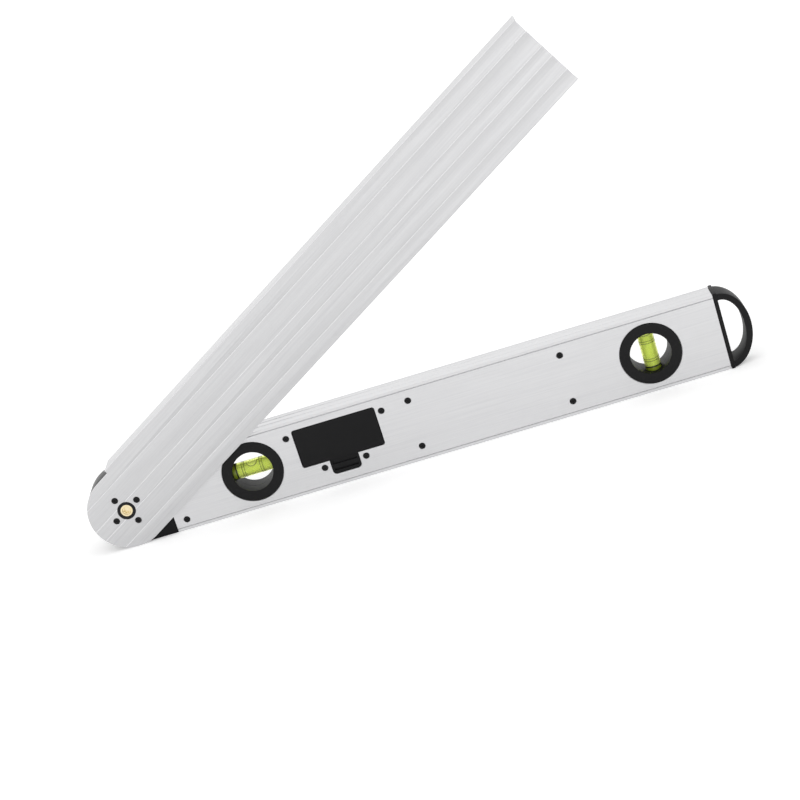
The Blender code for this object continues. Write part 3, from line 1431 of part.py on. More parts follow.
def make_leads(finishes, frame):
    """The two battery leads from the tray to the main board."""
    start_x = CAVITY_END + TRAY_WALL + FIT_GAP
    end_y = BOARD_BACK - FIT_GAP
    start_y = end_y - LEAD_SAG
    for name, height in zip(("red", "black"), LEAD_HEIGHTS):
        points = []
        for index in range(LEAD_POINTS):
            share = index / (LEAD_POINTS - 1)
            angle = share * math.pi / 2
            x = start_x + LEAD_REACH * math.sin(angle)
            y = start_y + LEAD_SAG * (1 - math.cos(angle))
            points.append((x, y, height))
        add_wire(f"battery_lead_{name}", points, LEAD_RADIUS, finishes[f"{name}_wire"], frame, 1)


def make_screws(finishes, main_frame, swing_frame):
    """Every screw, each flush with the face that it goes into."""
    back = -HALF_DEPTH
    groups = (
        ("tray_screw", tray_screw_places(), back, TRAY_SCREW_LENGTH, main_frame),
        ("display_screw", display_screw_places(), back, DISPLAY_SCREW_LENGTH, main_frame),
        ("housing_screw", housing_screw_places(), back, HOUSING_SCREW_LENGTH, main_frame),
        ("hub_screw", hub_screw_places(), PLATE_OUTER, HUB_SCREW_LENGTH, swing_frame),
    )
    for kind, places, face, length, frame in groups:
        for number, place in enumerate(places, start=1):
            add_screw(f"{kind}_{number}", place, face, length, finishes["black_steel"], frame)


def main():
    """Builds every piece of the angle finder."""
    clear_scene()
    finishes = make_finishes()
    main_frame = frame_empty("main_frame")
    swing_frame = frame_empty("swing_frame", OPEN_ANGLE)
    make_main_arm(finishes, main_frame)
    make_housing(finishes, main_frame)
    make_friction_ring(finishes, main_frame)
    make_sensor(finishes, main_frame, swing_frame)
    make_hub(finishes, swing_frame)
    make_pivot_bolt(finishes, swing_frame)
    make_swing_arm(finishes, swing_frame)
    make_knob(finishes, main_frame)
    make_knob_insert(finishes, main_frame)
    make_thrust_washer(finishes, main_frame)
    make_end_cap(finishes, main_frame)
    make_vials(finishes, main_frame)
    make_bezel(finishes, main_frame)
    make_display(finishes, main_frame)
    make_board(finishes, main_frame)
    make_mat(finishes, main_frame)
    make_chassis(finishes, main_frame)
    for name, x, z, leans_down, kind in button_places():
        make_button(name, x, z, leans_down, finishes[kind], main_frame)
    make_cover(finishes, main_frame)
    make_tray(finishes, main_frame)
    make_cells(finishes, main_frame)
    make_ribbon(finishes, main_frame)
    make_leads(finishes, main_frame)
    make_screws(finishes, main_frame, swing_frame)


main()
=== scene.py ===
"""Looks of a digital angle finder with two arms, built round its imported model."""

import json
import logging
import math
from collections.abc import Callable, Sequence
from dataclasses import dataclass, field
from enum import Enum

import bmesh
import bpy
from mathutils import Matrix, Vector

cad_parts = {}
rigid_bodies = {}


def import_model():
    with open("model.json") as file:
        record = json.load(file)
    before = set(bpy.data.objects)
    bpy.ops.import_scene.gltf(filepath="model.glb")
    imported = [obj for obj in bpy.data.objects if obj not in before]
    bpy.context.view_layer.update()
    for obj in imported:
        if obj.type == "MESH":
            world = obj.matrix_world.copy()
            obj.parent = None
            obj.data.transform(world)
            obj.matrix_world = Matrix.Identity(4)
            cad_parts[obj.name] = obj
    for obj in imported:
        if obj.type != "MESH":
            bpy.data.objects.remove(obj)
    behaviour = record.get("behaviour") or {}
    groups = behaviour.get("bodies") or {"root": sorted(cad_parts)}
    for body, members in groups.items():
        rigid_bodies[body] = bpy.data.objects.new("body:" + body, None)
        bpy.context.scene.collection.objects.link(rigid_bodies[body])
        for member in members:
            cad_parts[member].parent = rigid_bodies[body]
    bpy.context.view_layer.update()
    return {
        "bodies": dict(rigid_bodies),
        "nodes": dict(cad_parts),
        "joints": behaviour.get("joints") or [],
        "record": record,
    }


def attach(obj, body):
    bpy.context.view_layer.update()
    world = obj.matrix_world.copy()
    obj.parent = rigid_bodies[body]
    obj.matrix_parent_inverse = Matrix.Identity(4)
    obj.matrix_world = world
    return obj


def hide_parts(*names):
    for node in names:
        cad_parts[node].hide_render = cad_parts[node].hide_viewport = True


LOG = logging.getLogger("angle_finder")
MM = 0.001
WELD = 1e-6
OVERRUN = 0.002
GAP = 0.0003
CORNER_SHARE = 0.3
NOISE_LOW = 0.3
NOISE_HIGH = 0.7
Point = tuple[float, float]
Setting = object


class Body(Enum):
    """The bodies that pieces ride on."""

    MAIN = "main"
    SWING = "swing"
    KNOB = "knob"
    COVER = "cover"


class Axis(Enum):
    """The way a turned shape points, as the matrix that turns it there from +y."""

    ALONG_X = (0.0, 0.0, -math.pi / 2)
    ALONG_Z = (math.pi / 2, 0.0, 0.0)

    def matrix(self) -> Matrix:
        """The rotation matrix."""
        turn_x, turn_y, turn_z = self.value
        return (
            Matrix.Rotation(turn_z, 4, "Z")
            @ Matrix.Rotation(turn_y, 4, "Y")
            @ Matrix.Rotation(turn_x, 4, "X")
        )


@dataclass(frozen=True)
class Layout:
    """Where the tool's own frames are: x to the handle, y to the display, z up, from the pivot."""

    pivot_x: float = 0.21215
    pivot_z: float = 0.0255
    half_height: float = 0.0255
    half_depth: float = 0.0100
    arm_start: float = 0.0268
    arm_end: float = 0.3975
    opening: float = math.radians(31.0)
    plate_outer: float = -0.0131

    def main(self) -> Matrix:
        """The frame of everything on the main arm."""
        place = Matrix.Translation((self.pivot_x, 0, self.pivot_z))
        return place @ Matrix.Rotation(math.pi, 4, "Z")

    def swing(self) -> Matrix:
        """The frame of the swing arm, turned up by the opening angle."""
        place = Matrix.Translation((self.pivot_x, 0, self.pivot_z))
        turn = Matrix.Rotation(self.opening, 4, "Y")
        return place @ turn @ Matrix.Rotation(math.pi, 4, "Z")


LAYOUT = Layout()


def linear(code: str) -> tuple[float, float, float, float]:
    """Turns an sRGB hex colour to linear.

    Args:
        code: six hex digits.

    Returns:
        Linear red, green and blue, and an alpha of 1.
    """
    parts = [int(code[at : at + 2], 16) / 255 for at in (0, 2, 4)]
    red, green, blue = (
        part / 12.92 if part <= 0.04045 else ((part + 0.055) / 1.055) ** 2.4 for part in parts
    )
    return (red, green, blue, 1.0)


def add_node(
    tree: bpy.types.NodeTree,
    kind: str,
    settings: dict[str, Setting] | None = None,
    inputs: dict[str | int, Setting] | None = None,
) -> bpy.types.Node:
    """Adds a node with its settings and links.

    Args:
        tree: the node tree that gets the node.
        kind: the node's type name.
        settings: properties of the node.
        inputs: a value or a source socket for each named or numbered input.

    Returns:
        The new node.
    """
    made = tree.nodes.new(kind)
    for name, value in (settings or {}).items():
        setattr(made, name, value)
    for name, value in (inputs or {}).items():
        if isinstance(value, bpy.types.NodeSocket):
            tree.links.new(value, made.inputs[name])
        else:
            made.inputs[name].default_value = value
    return made


@dataclass(frozen=True)
class Band:
    """A colour that shows where a few coordinates are within their limits.

    Each limit is a coordinate, where the colour is full and where it has faded.
    """

    colour: str
    limits: tuple[tuple[str, float, float], ...]


@dataclass(frozen=True)
class Finish:
    """A surface with two mixed colours, a grain and a roughness that follow one pattern.

    Sizes of patterns are in millimetres, and stretch makes the pattern longer along x, y or z.
    """

    name: str
    colour: str
    tint: str
    roughness: float
    roughness_spread: float = 0.06
    metallic: float = 0.0
    grain_mm: float = 0.6
    bump_mm: float = 0.02
    cloud_mm: float = 18.0
    stretch: tuple[float, float, float] = (1.0, 1.0, 1.0)
    turn_y: float = 0.0
    ior: float = 1.5
    transmission: float = 0.0
    coat: float = 0.0
    alpha: float = 1.0
    # Emission in the surface's own colour: painted light on a part that is no lamp.
    painted_glow: float = 0.0
    specular: float = 0.5
    bands: tuple[Band, ...] = ()

    def build(self) -> bpy.types.Material:
        """Makes the material, or finds it if it is made already.

        Returns:
            The material.
        """
        found = bpy.data.materials.get(self.name)
        if found is not None:
            return found
        material = bpy.data.materials.new(self.name)
        material.use_nodes = True
        tree = material.node_tree
        shader = tree.nodes["Principled BSDF"]
        place = self.place(tree)
        grain = add_node(
            tree,
            "ShaderNodeTexNoise",
            {},
            {"Vector": place, "Scale": 1 / (self.grain_mm * MM), "Detail": 3.0, "Roughness": 0.6},
        ).outputs["Fac"]
        cloud = add_node(
            tree,
            "ShaderNodeTexNoise",
            {},
            {"Vector": place, "Scale": 1 / (self.cloud_mm * MM), "Detail": 2.0},
        ).outputs["Fac"]
        self.shade(tree, shader, place, grain, cloud)
        shader.inputs["Metallic"].default_value = self.metallic
        shader.inputs["IOR"].default_value = self.ior
        shader.inputs["Specular IOR Level"].default_value = self.specular
        shader.inputs["Transmission Weight"].default_value = self.transmission
        shader.inputs["Coat Weight"].default_value = self.coat
        shader.inputs["Alpha"].default_value = self.alpha
        # Painted light: the surface glows in its own colour.
        if self.painted_glow > 0:
            shader.inputs["Emission Color"].default_value = linear(self.colour)
            shader.inputs["Emission Strength"].default_value = self.painted_glow
        material.diffuse_color = linear(self.colour)
        return material

    def place(self, tree: bpy.types.NodeTree) -> bpy.types.NodeSocket:
        """The pattern's coordinates, turned and stretched with the piece.

        Args:
            tree: the material's node tree.

        Returns:
            The vector that patterns read.
        """
        object_place = add_node(tree, "ShaderNodeTexCoord").outputs["Object"]
        turned = add_node(
            tree,
            "ShaderNodeMapping",
            {},
            {"Vector": object_place, "Rotation": (0.0, self.turn_y, 0.0)},
        ).outputs["Vector"]
        scale = tuple(1 / share for share in self.stretch)
        return add_node(
            tree, "ShaderNodeMapping", {}, {"Vector": turned, "Scale": scale}
        ).outputs["Vector"]

    def banded(
        self, tree: bpy.types.NodeTree, place: bpy.types.NodeSocket, mixed: bpy.types.NodeSocket
    ) -> bpy.types.NodeSocket:
        """Lays the bands over a colour.

        Args:
            tree: the material's node tree.
            place: the pattern's coordinates.
            mixed: the colour under the bands.

        Returns:
            The colour with the bands.
        """
        if not self.bands:
            return mixed
        axes = add_node(tree, "ShaderNodeSeparateXYZ", {}, {"Vector": place}).outputs
        for band in self.bands:
            share: bpy.types.NodeSocket | float = 1.0
            for axis, full, faded in band.limits:
                part = add_node(
                    tree,
                    "ShaderNodeMapRange",
                    {"interpolation_type": "SMOOTHSTEP"},
                    {"Value": axes[axis], "From Min": faded, "From Max": full},
                ).outputs["Result"]
                share = add_node(
                    tree, "ShaderNodeMath", {"operation": "MULTIPLY"}, {0: share, 1: part}
                ).outputs[0]
            mixed = add_node(
                tree,
                "ShaderNodeMix",
                {"data_type": "RGBA"},
                {0: share, 6: mixed, 7: linear(band.colour)},
            ).outputs[2]
        return mixed

    def shade(
        self,
        tree: bpy.types.NodeTree,
        shader: bpy.types.Node,
        place: bpy.types.NodeSocket,
        grain: bpy.types.NodeSocket,
        cloud: bpy.types.NodeSocket,
    ) -> None:
        """Links colour, roughness and relief to the patterns.

        Args:
            tree: the material's node tree.
            shader: the Principled shader.
            place: the pattern's coordinates.
            grain: the fine pattern.
            cloud: the broad pattern.
        """
        mixed = add_node(
            tree,
            "ShaderNodeMix",
            {"data_type": "RGBA"},
            {0: cloud, 6: linear(self.colour), 7: linear(self.tint)},
        ).outputs[2]
        rough = add_node(
            tree,
            "ShaderNodeMapRange",
            {},
            {
                "Value": grain,
                "From Min": NOISE_LOW,
                "From Max": NOISE_HIGH,
                "To Min": self.roughness - self.roughness_spread,
                "To Max": self.roughness + self.roughness_spread,
            },
        ).outputs["Result"]
        relief = add_node(
            tree,
            "ShaderNodeBump",
            {},
            {"Height": grain, "Strength": 0.6, "Distance": self.bump_mm * MM},
        ).outputs["Normal"]
        tree.links.new(self.banded(tree, place, mixed), shader.inputs["Base Color"])
        tree.links.new(rough, shader.inputs["Roughness"])
        tree.links.new(relief, shader.inputs["Normal"])


@dataclass(frozen=True)
class BrushedFinish(Finish):
    """Extruded and anodised aluminium: die lines along the bar over a satin etched skin."""

    line_mm: float = 0.9
    line_depth_mm: float = 0.006

    def shade(
        self,
        tree: bpy.types.NodeTree,
        shader: bpy.types.Node,
        place: bpy.types.NodeSocket,
        grain: bpy.types.NodeSocket,
        cloud: bpy.types.NodeSocket,
    ) -> None:
        """Adds the die lines to the colour, roughness and relief.

        Args:
            tree: the material's node tree.
            shader: the Principled shader.
            place: the pattern's coordinates, stretched along the bar.
            grain: the fine pattern.
            cloud: the broad pattern.
        """
        lines = add_node(
            tree,
            "ShaderNodeTexNoise",
            {},
            {"Vector": place, "Scale": 1 / (self.line_mm * MM), "Detail": 5.0, "Roughness": 0.65},
        ).outputs["Fac"]
        share = add_node(
            tree,
            "ShaderNodeMapRange",
            {},
            {"Value": lines, "From Min": 0.35, "From Max": 0.65},
        ).outputs["Result"]
        streaked = add_node(
            tree,
            "ShaderNodeMix",
            {"data_type": "RGBA"},
            {0: share, 6: linear(self.colour), 7: linear(self.tint)},
        ).outputs[2]
        clouded = add_node(
            tree,
            "ShaderNodeMix",
            {"data_type": "RGBA"},
            {0: cloud, 6: streaked, 7: linear(self.colour)},
        ).outputs[2]
        rough = add_node(
            tree,
            "ShaderNodeMapRange",
            {},
            {
                "Value": lines,
                "From Min": NOISE_LOW,
                "From Max": NOISE_HIGH,
                "To Min": self.roughness - self.roughness_spread,
                "To Max": self.roughness + self.roughness_spread,
            },
        ).outputs["Result"]
        line_relief = add_node(
            tree,
            "ShaderNodeBump",
            {},
            {"Height": lines, "Strength": 0.5, "Distance": self.line_depth_mm * MM},
        ).outputs["Normal"]
        relief = add_node(
            tree,
            "ShaderNodeBump",
            {},
            {
                "Height": grain,
                "Strength": 0.4,
                "Distance": self.bump_mm * MM,
                "Normal": line_relief,
            },
        ).outputs["Normal"]
        tree.links.new(self.banded(tree, place, clouded), shader.inputs["Base Color"])
        tree.links.new(rough, shader.inputs["Roughness"])
        tree.links.new(relief, shader.inputs["Normal"])


@dataclass(frozen=True)
class LitGlassFinish(Finish):
    """Backlit LCD glass: pale green, deeper in the band under the upper edge and at two edges."""

    lit: float = 0.45

    def shade(
        self,
        tree: bpy.types.NodeTree,
        shader: bpy.types.Node,
        place: bpy.types.NodeSocket,
        grain: bpy.types.NodeSocket,
        cloud: bpy.types.NodeSocket,
    ) -> None:
        """Grades the green up the glass and lights it from within.

        Args:
            tree: the material's node tree.
            shader: the Principled shader.
            place: the pattern's coordinates.
            grain: not used.
            cloud: the broad pattern.
        """
        mixed = add_node(
            tree,
            "ShaderNodeMix",
            {"data_type": "RGBA"},
            {0: cloud, 6: linear(self.colour), 7: linear(self.tint)},
        ).outputs[2]
        mixed = self.banded(tree, place, mixed)
        tree.links.new(mixed, shader.inputs["Base Color"])
        tree.links.new(mixed, shader.inputs["Emission Color"])
        shader.inputs["Emission Strength"].default_value = self.lit
        shader.inputs["Roughness"].default_value = self.roughness


@dataclass(frozen=True)
class Finishes:
    """Every finish of the tool."""

    # Extruded aluminium, etched and clear anodised: a satin grey with fine die lines.
    main_aluminium: Finish = BrushedFinish(
        "anodised_aluminium_main_arm",
        "D6D6D7",
        "CCCCCE",
        0.46,
        0.05,
        metallic=1.0,
        grain_mm=0.25,
        bump_mm=0.004,
        cloud_mm=9.0,
        stretch=(60.0, 1.0, 1.0),
    )
    # The same extrusion, brushed along its length, which shows broader pale streaks. Its band is a
    # painted highlight: the groove floors and a thin line along the plate's edges are paler.
    swing_aluminium: Finish = BrushedFinish(
        "anodised_aluminium_swing_arm",
        "CCCCCD",
        "C1C1C3",
        0.44,
        0.06,
        metallic=1.0,
        grain_mm=0.25,
        bump_mm=0.004,
        cloud_mm=7.0,
        stretch=(60.0, 1.0, 1.0),
        turn_y=-LAYOUT.opening,
        line_mm=0.7,
        # Painted highlight: paler colour on the groove floors and along the plate's edges near its
        # back face.
        bands=(Band("E4E4E5", (("Y", 0.01298, 0.01306), ("Y", 0.01280, 0.01270))),),
    )
    # Moulded ABS with a fine spark-eroded skin that scatters its highlights.
    black_abs: Finish = Finish(
        "moulded_black_abs", "171718", "1E1E20", 0.46, 0.08, grain_mm=0.35, specular=0.22
    )
    # The housing's ABS is polished more than the rings.
    housing_abs: Finish = Finish(
        "satin_black_abs", "0D0D0E", "131314", 0.36, 0.06, grain_mm=0.45, specular=0.14
    )
    # The rings and the end cap are greyer, with the same skin.
    ring_abs: Finish = Finish(
        "grey_black_abs", "111112", "161617", 0.5, 0.08, grain_mm=0.4, specular=0.18
    )
    # The bezel's ABS has the finest skin.
    bezel_abs: Finish = Finish(
        "fine_black_abs", "141415", "19191A", 0.4, 0.06, grain_mm=0.3, specular=0.2
    )
    # The battery cover's ABS, close to the housing's.
    cover_abs: Finish = Finish(
        "cover_black_abs", "111112", "161617", 0.42, 0.06, grain_mm=0.35, specular=0.15
    )
    # Glass-filled nylon, a little rougher and browner than ABS.
    knob_nylon: Finish = Finish(
        "moulded_black_nylon", "101011", "171617", 0.44, 0.08, grain_mm=0.5, specular=0.2
    )
    # Blackened screw steel, dull and slightly mottled.
    black_steel: Finish = Finish(
        "blackened_screw_steel", "0E0E0F", "1A1A1B", 0.42, 0.08, metallic=0.6, grain_mm=0.2
    )
    # Turned brass with fine lathe marks. Its band paints shade dark brown in the depth of its
    # recess.
    brass: Finish = Finish(
        "turned_brass",
        "D9BE7C",
        "B99650",
        0.28,
        0.08,
        metallic=1.0,
        grain_mm=0.15,
        bump_mm=0.004,
        # Painted shade: dark brown below the rim of the bolt's recess.
        bands=(Band("3B2810", (("Y", 0.01225, 0.01275),)),),
    )
    # Zinc-plated steel, bright with a faint bloom.
    zinc: Finish = Finish(
        "zinc_plated_steel", "C3C4C6", "AEB0B4", 0.30, 0.08, metallic=1.0, grain_mm=0.3
    )
    # Fluorescent acrylic, polished, which glows at its edges. A faint even painted glow over all of
    # it stands in for that light.
    acrylic: Finish = Finish(
        "fluorescent_acrylic",
        "F0F8A8",
        "EAF49A",
        0.04,
        0.02,
        grain_mm=2.0,
        bump_mm=0.0,
        transmission=0.9,
        ior=1.2,
        # Painted light: a faint glow over the whole tube.
        painted_glow=0.05,
    )
    # The vial's plug, deeper in colour because it is solid. The same colour paints shade over the
    # tube's end.
    plug_and_end_shade: Finish = Finish(
        "solid_acrylic_and_end_shade", "8FA02A", "7F9024", 0.2, 0.05, grain_mm=1.0, bump_mm=0.0
    )
    # Vial spirit, clear yellow-green, brightened by a painted glow.
    spirit: Finish = Finish(
        "vial_spirit",
        "DDEF50",
        "D2E648",
        0.2,
        0.02,
        grain_mm=2.0,
        bump_mm=0.0,
        transmission=0.15,
        ior=1.36,
        # Painted light: the spirit glows.
        painted_glow=0.25,
    )
    # Printed black rings, and painted shade in the same ink: the dark line at the bubble's edge and
    # a band near one end of the tube.
    ink_and_painted_shade: Finish = Finish("ink_and_painted_shade", "20230E", "2B2F14", 0.5, 0.05, grain_mm=0.3)
    # The air in the vial, which shows pale through the tube, with a painted glow that lightens it.
    bubble: Finish = Finish(
        "bubble_air_glow", "F4F6E4", "ECEFD8", 0.12, 0.03, grain_mm=2.0, bump_mm=0.0, painted_glow=0.1
    )
    # Polycarbonate display window, thin and clear.
    window: Finish = Finish(
        "clear_polycarbonate",
        "F4F8F5",
        "EEF4F0",
        0.06,
        0.02,
        grain_mm=1.5,
        bump_mm=0.0,
        alpha=0.04,
        specular=0.15,
    )
    lcd: Finish = LitGlassFinish(
        "backlit_lcd_glass",
        "66B97A",
        "60B475",
        0.25,
        0.03,
        cloud_mm=30.0,
        specular=0.08,
        bands=(
            Band("2BC575", (("X", -0.0572, -0.0500),)),
            Band("2BC575", (("Z", 0.0138, 0.0168),)),
            Band("04B94A", (("Z", 0.0336, 0.0331),)),
        ),
    )
    # Liquid crystal segments, dark green-grey where they are on.
    segment: Finish = Finish("lcd_segment", "24432B", "1E3A25", 0.4, 0.04, specular=0.1)
    # Moulded key caps with a matt skin.
    grey_key: Finish = Finish(
        "moulded_grey_key", "A3A5A8", "999B9F", 0.5, 0.06, grain_mm=0.3, bump_mm=0.01
    )
    red_key: Finish = Finish(
        "moulded_red_key", "EC3A22", "E2311C", 0.45, 0.06, grain_mm=0.3, bump_mm=0.01
    )
    # Glass-fibre board under green solder mask, glossy with a woven mottle.
    board: Finish = Finish(
        "green_solder_mask", "1C6B38", "16552D", 0.35, 0.08, grain_mm=0.7, bump_mm=0.01, coat=0.4
    )
    # Copper tracks under a clear lacquer.
    copper: Finish = Finish(
        "lacquered_copper", "C98A5B", "B67848", 0.3, 0.06, metallic=1.0, grain_mm=0.4
    )
    # Silicone mat, dull and soft.
    silicone: Finish = Finish("grey_silicone", "8E8F91", "858688", 0.7, 0.05, grain_mm=0.5)
    # Diffuser film, white and even.
    diffuser: Finish = Finish("white_diffuser", "EEF1EE", "E6EAE6", 0.5, 0.05, grain_mm=0.6)
    # Low-friction white film.
    slip: Finish = Finish("white_slip_film", "E6E6E3", "DCDCD8", 0.5, 0.05, grain_mm=0.5)
    # Printed film wrapped round a cell.
    wrapper: Finish = Finish("cell_wrapper", "2F4C8A", "27427B", 0.35, 0.05, grain_mm=0.8, coat=0.3)
    # Polyimide ribbon film, amber and glossy.
    ribbon: Finish = Finish("polyimide_film", "C9963F", "B98532", 0.35, 0.05, grain_mm=0.5)
    red_wire: Finish = Finish("red_wire_jacket", "B92A26", "A9231F", 0.4, 0.05, grain_mm=0.4)
    black_wire: Finish = Finish("black_wire_jacket", "1C1C1D", "252526", 0.4, 0.05, grain_mm=0.4)


FINISHES = Finishes()


def turned(profile: Sequence[Point], steps: int) -> bmesh.types.BMesh:
    """Turns a profile about y.

    Args:
        profile: (radius, y) points, as a closed loop or with both ends on the axis.
        steps: sides of the full turn.

    Returns:
        The closed shape.
    """
    bm = bmesh.new()
    points = [bm.verts.new((radius, along, 0)) for radius, along in profile]
    pairs = list(zip(points, points[1:]))
    if profile[0][0] > 0:
        pairs.append((points[-1], points[0]))
    edges = [bm.edges.new(pair) for pair in pairs]
    bmesh.ops.spin(
        bm,
        geom=points + edges,
        cent=(0, 0, 0),
        axis=(0, 1, 0),
        angle=2 * math.pi,
        steps=steps,
        use_merge=True,
    )
    bmesh.ops.remove_doubles(bm, verts=bm.verts, dist=WELD)
    bmesh.ops.recalc_face_normals(bm, faces=bm.faces)
    return bm


def block(outline: Sequence[Point], low: float, high: float) -> bmesh.types.BMesh:
    """Extrudes an (x, z) outline along y.

    Args:
        outline: the corners in order.
        low: y of the first face.
        high: y of the last face.

    Returns:
        The closed shape.
    """
    bm = bmesh.new()
    base = bm.faces.new([bm.verts.new((x, low, z)) for x, z in outline])
    made = bmesh.ops.extrude_face_region(bm, geom=[base])
    moved = [item for item in made["geom"] if isinstance(item, bmesh.types.BMVert)]
    bmesh.ops.translate(bm, verts=moved, vec=Vector((0, high - low, 0)))
    bmesh.ops.recalc_face_normals(bm, faces=bm.faces)
    return bm


def bar(outline: Sequence[Point], start: float, end: float) -> bmesh.types.BMesh:
    """Extrudes an (across, up) outline along x.

    Args:
        outline: the section in y and z.
        start: x of the first end.
        end: x of the last end.

    Returns:
        The closed shape.
    """
    return moved(block(outline, -end, -start), Matrix.Rotation(math.pi / 2, 4, "Z"))


def stacked(rings: Sequence[Callable[[float], Vector]], steps: int) -> bmesh.types.BMesh:
    """Draws a circle from ring to ring and closes both ends.

    Args:
        rings: each ring's place at an angle.
        steps: points of each ring.

    Returns:
        The closed shape.
    """
    bm = bmesh.new()
    turn = bm.verts.layers.float.new("turn")
    ring = bmesh.ops.create_circle(bm, cap_ends=False, segments=steps, radius=1)["verts"]
    for vert in ring:
        vert[turn] = math.atan2(vert.co.y, vert.co.x)
    for index, place in enumerate(rings):
        if index:
            held = set(ring)
            edges = {e for v in ring for e in v.link_edges if e.other_vert(v) in held}
            made = bmesh.ops.extrude_edge_only(bm, edges=list(edges))
            ring = [item for item in made["geom"] if isinstance(item, bmesh.types.BMVert)]
        for vert in ring:
            vert.co = place(vert[turn])
    bmesh.ops.holes_fill(bm, edges=bm.edges, sides=0)
    bmesh.ops.recalc_face_normals(bm, faces=bm.faces)
    return bm


def rectangle(start: float, end: float, low: float, high: float) -> list[Point]:
    """The corners of a rectangle in x and z."""
    return [(start, low), (end, low), (end, high), (start, high)]


def round_corners(bm: bmesh.types.BMesh, radius: float, steps: int = 6) -> None:
    """Rounds the edges that run along y.

    Args:
        bm: the shape.
        radius: the corners' radius.
        steps: facets of each corner.
    """
    edges = [e for e in bm.edges if edge_runs_along(e, 1)]
    bevel(bm, edges, radius, steps)


def edge_runs_along(edge: bmesh.types.BMEdge, axis: int) -> bool:
    """Whether an edge runs along one axis, by the axis's number."""
    along = edge.verts[1].co - edge.verts[0].co
    return abs(abs(along[axis]) - along.length) < WELD


def bevel(
    bm: bmesh.types.BMesh, edges: Sequence[bmesh.types.BMEdge], width: float, steps: int = 3
) -> None:
    """Rounds some edges.

    Args:
        bm: the shape.
        edges: the edges.
        width: the bevel's width.
        steps: its facets.
    """
    bmesh.ops.bevel(
        bm,
        geom=list(edges),
        offset=width,
        offset_type="OFFSET",
        segments=steps,
        profile=0.5,
        affect="EDGES",
        material=-1,
        clamp_overlap=True,
    )


def rim_at(bm: bmesh.types.BMesh, level: float, axis: int = 1) -> list[bmesh.types.BMEdge]:
    """The edges in a plane square to an axis that bound a flat face there.

    Args:
        bm: the shape.
        level: the plane's place on the axis.
        axis: the axis's number.

    Returns:
        The edges between a face in the plane and one out of it.
    """
    found = []
    for edge in bm.edges:
        if not all(abs(v.co[axis] - level) < WELD for v in edge.verts):
            continue
        flat = [abs(f.normal[axis]) > 0.99 for f in edge.link_faces]
        if any(flat) and not all(flat):
            found.append(edge)
    return found


def sharp_edges(bm: bmesh.types.BMesh, angle: float = math.radians(35)) -> list:
    """The edges at which the surface turns by more than an angle."""
    return [e for e in bm.edges if len(e.link_faces) == 2 and e.calc_face_angle() > angle]


def moved(bm: bmesh.types.BMesh, matrix: Matrix) -> bmesh.types.BMesh:
    """The same shape after a transform."""
    bmesh.ops.transform(bm, matrix=matrix, verts=bm.verts)
    return bm


def shifted(bm: bmesh.types.BMesh, place: Sequence[float]) -> bmesh.types.BMesh:
    """The same shape, moved without a turn."""
    return moved(bm, Matrix.Translation(Vector(place)))


def joined(shapes: Sequence[bmesh.types.BMesh]) -> bmesh.types.BMesh:
    """Puts several shapes in one.

    Args:
        shapes: the shapes, which are used up.

    Returns:
        One bmesh that holds them all.
    """
    whole = bmesh.new()
    for bm in shapes:
        mesh = bpy.data.meshes.new("joined")
        bm.to_mesh(mesh)
        bm.free()
        whole.from_mesh(mesh)
        bpy.data.meshes.remove(mesh)
    return whole


class Operation(Enum):
    """What a Boolean does."""

    CUT = "DIFFERENCE"
    ADD = "UNION"
    KEEP = "INTERSECT"


def combined(
    bm: bmesh.types.BMesh, others: Sequence[bmesh.types.BMesh], operation: Operation
) -> bmesh.types.BMesh:
    """A Boolean of one shape with others.

    Args:
        bm: the shape, which is used up.
        others: the other shapes, which are used up.
        operation: whether they are cut from it or added to it.

    Returns:
        The new shape.
    """
    objects = []
    for shape in (bm, *others):
        mesh = bpy.data.meshes.new("boolean")
        bmesh.ops.recalc_face_normals(shape, faces=shape.faces)
        shape.to_mesh(mesh)
        shape.free()
        obj = bpy.data.objects.new("boolean", mesh)
        bpy.context.scene.collection.objects.link(obj)
        objects.append(obj)
    for other in objects[1:]:
        modifier = objects[0].modifiers.new("boolean", "BOOLEAN")
        modifier.operation = operation.value
        modifier.solver = "EXACT"
        modifier.object = other
    graph = bpy.context.evaluated_depsgraph_get()
    evaluated = objects[0].evaluated_get(graph)
    mesh = bpy.data.meshes.new_from_object(evaluated)
    made = bmesh.new()
    made.from_mesh(mesh)
    bpy.data.meshes.remove(mesh)
    for obj in objects:
        old = obj.data
        bpy.data.objects.remove(obj)
        bpy.data.meshes.remove(old)
    return made


@dataclass
class Builder:
    """Makes finished pieces and keeps count of them."""

    made: list[str] = field(default_factory=list)

    def piece(
        self,
        name: str,
        bm: bmesh.types.BMesh,
        finish: Finish,
        body: str,
        frame: Matrix,
        slot: str,
        replaces: Sequence[str] = (),
    ) -> bpy.types.Object:
        """Makes one piece that rides on a body.

        Args:
            name: the piece's name.
            bm: its shape in its frame, which is used up.
            finish: its finish.
            body: the body that it rides on.
            frame: where its frame is in the row frame.
            slot: not used.
            replaces: the CAD nodes that it stands for.

        Returns:
            The object.
        """
        moved(bm, frame)
        mesh = bpy.data.meshes.new(name)
        bm.to_mesh(mesh)
        bm.free()
        mesh.shade_smooth()
        mesh.set_sharp_from_angle(angle=math.radians(32))
        mesh.materials.append(finish.build())
        obj = bpy.data.objects.new(name, mesh)
        bpy.context.scene.collection.objects.link(obj)
        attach(obj, body)
        if replaces:
            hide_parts(*replaces)
        self.made.append(name)
        LOG.info("%s rides on %s, %d faces", name, body, len(mesh.polygons))
        return obj


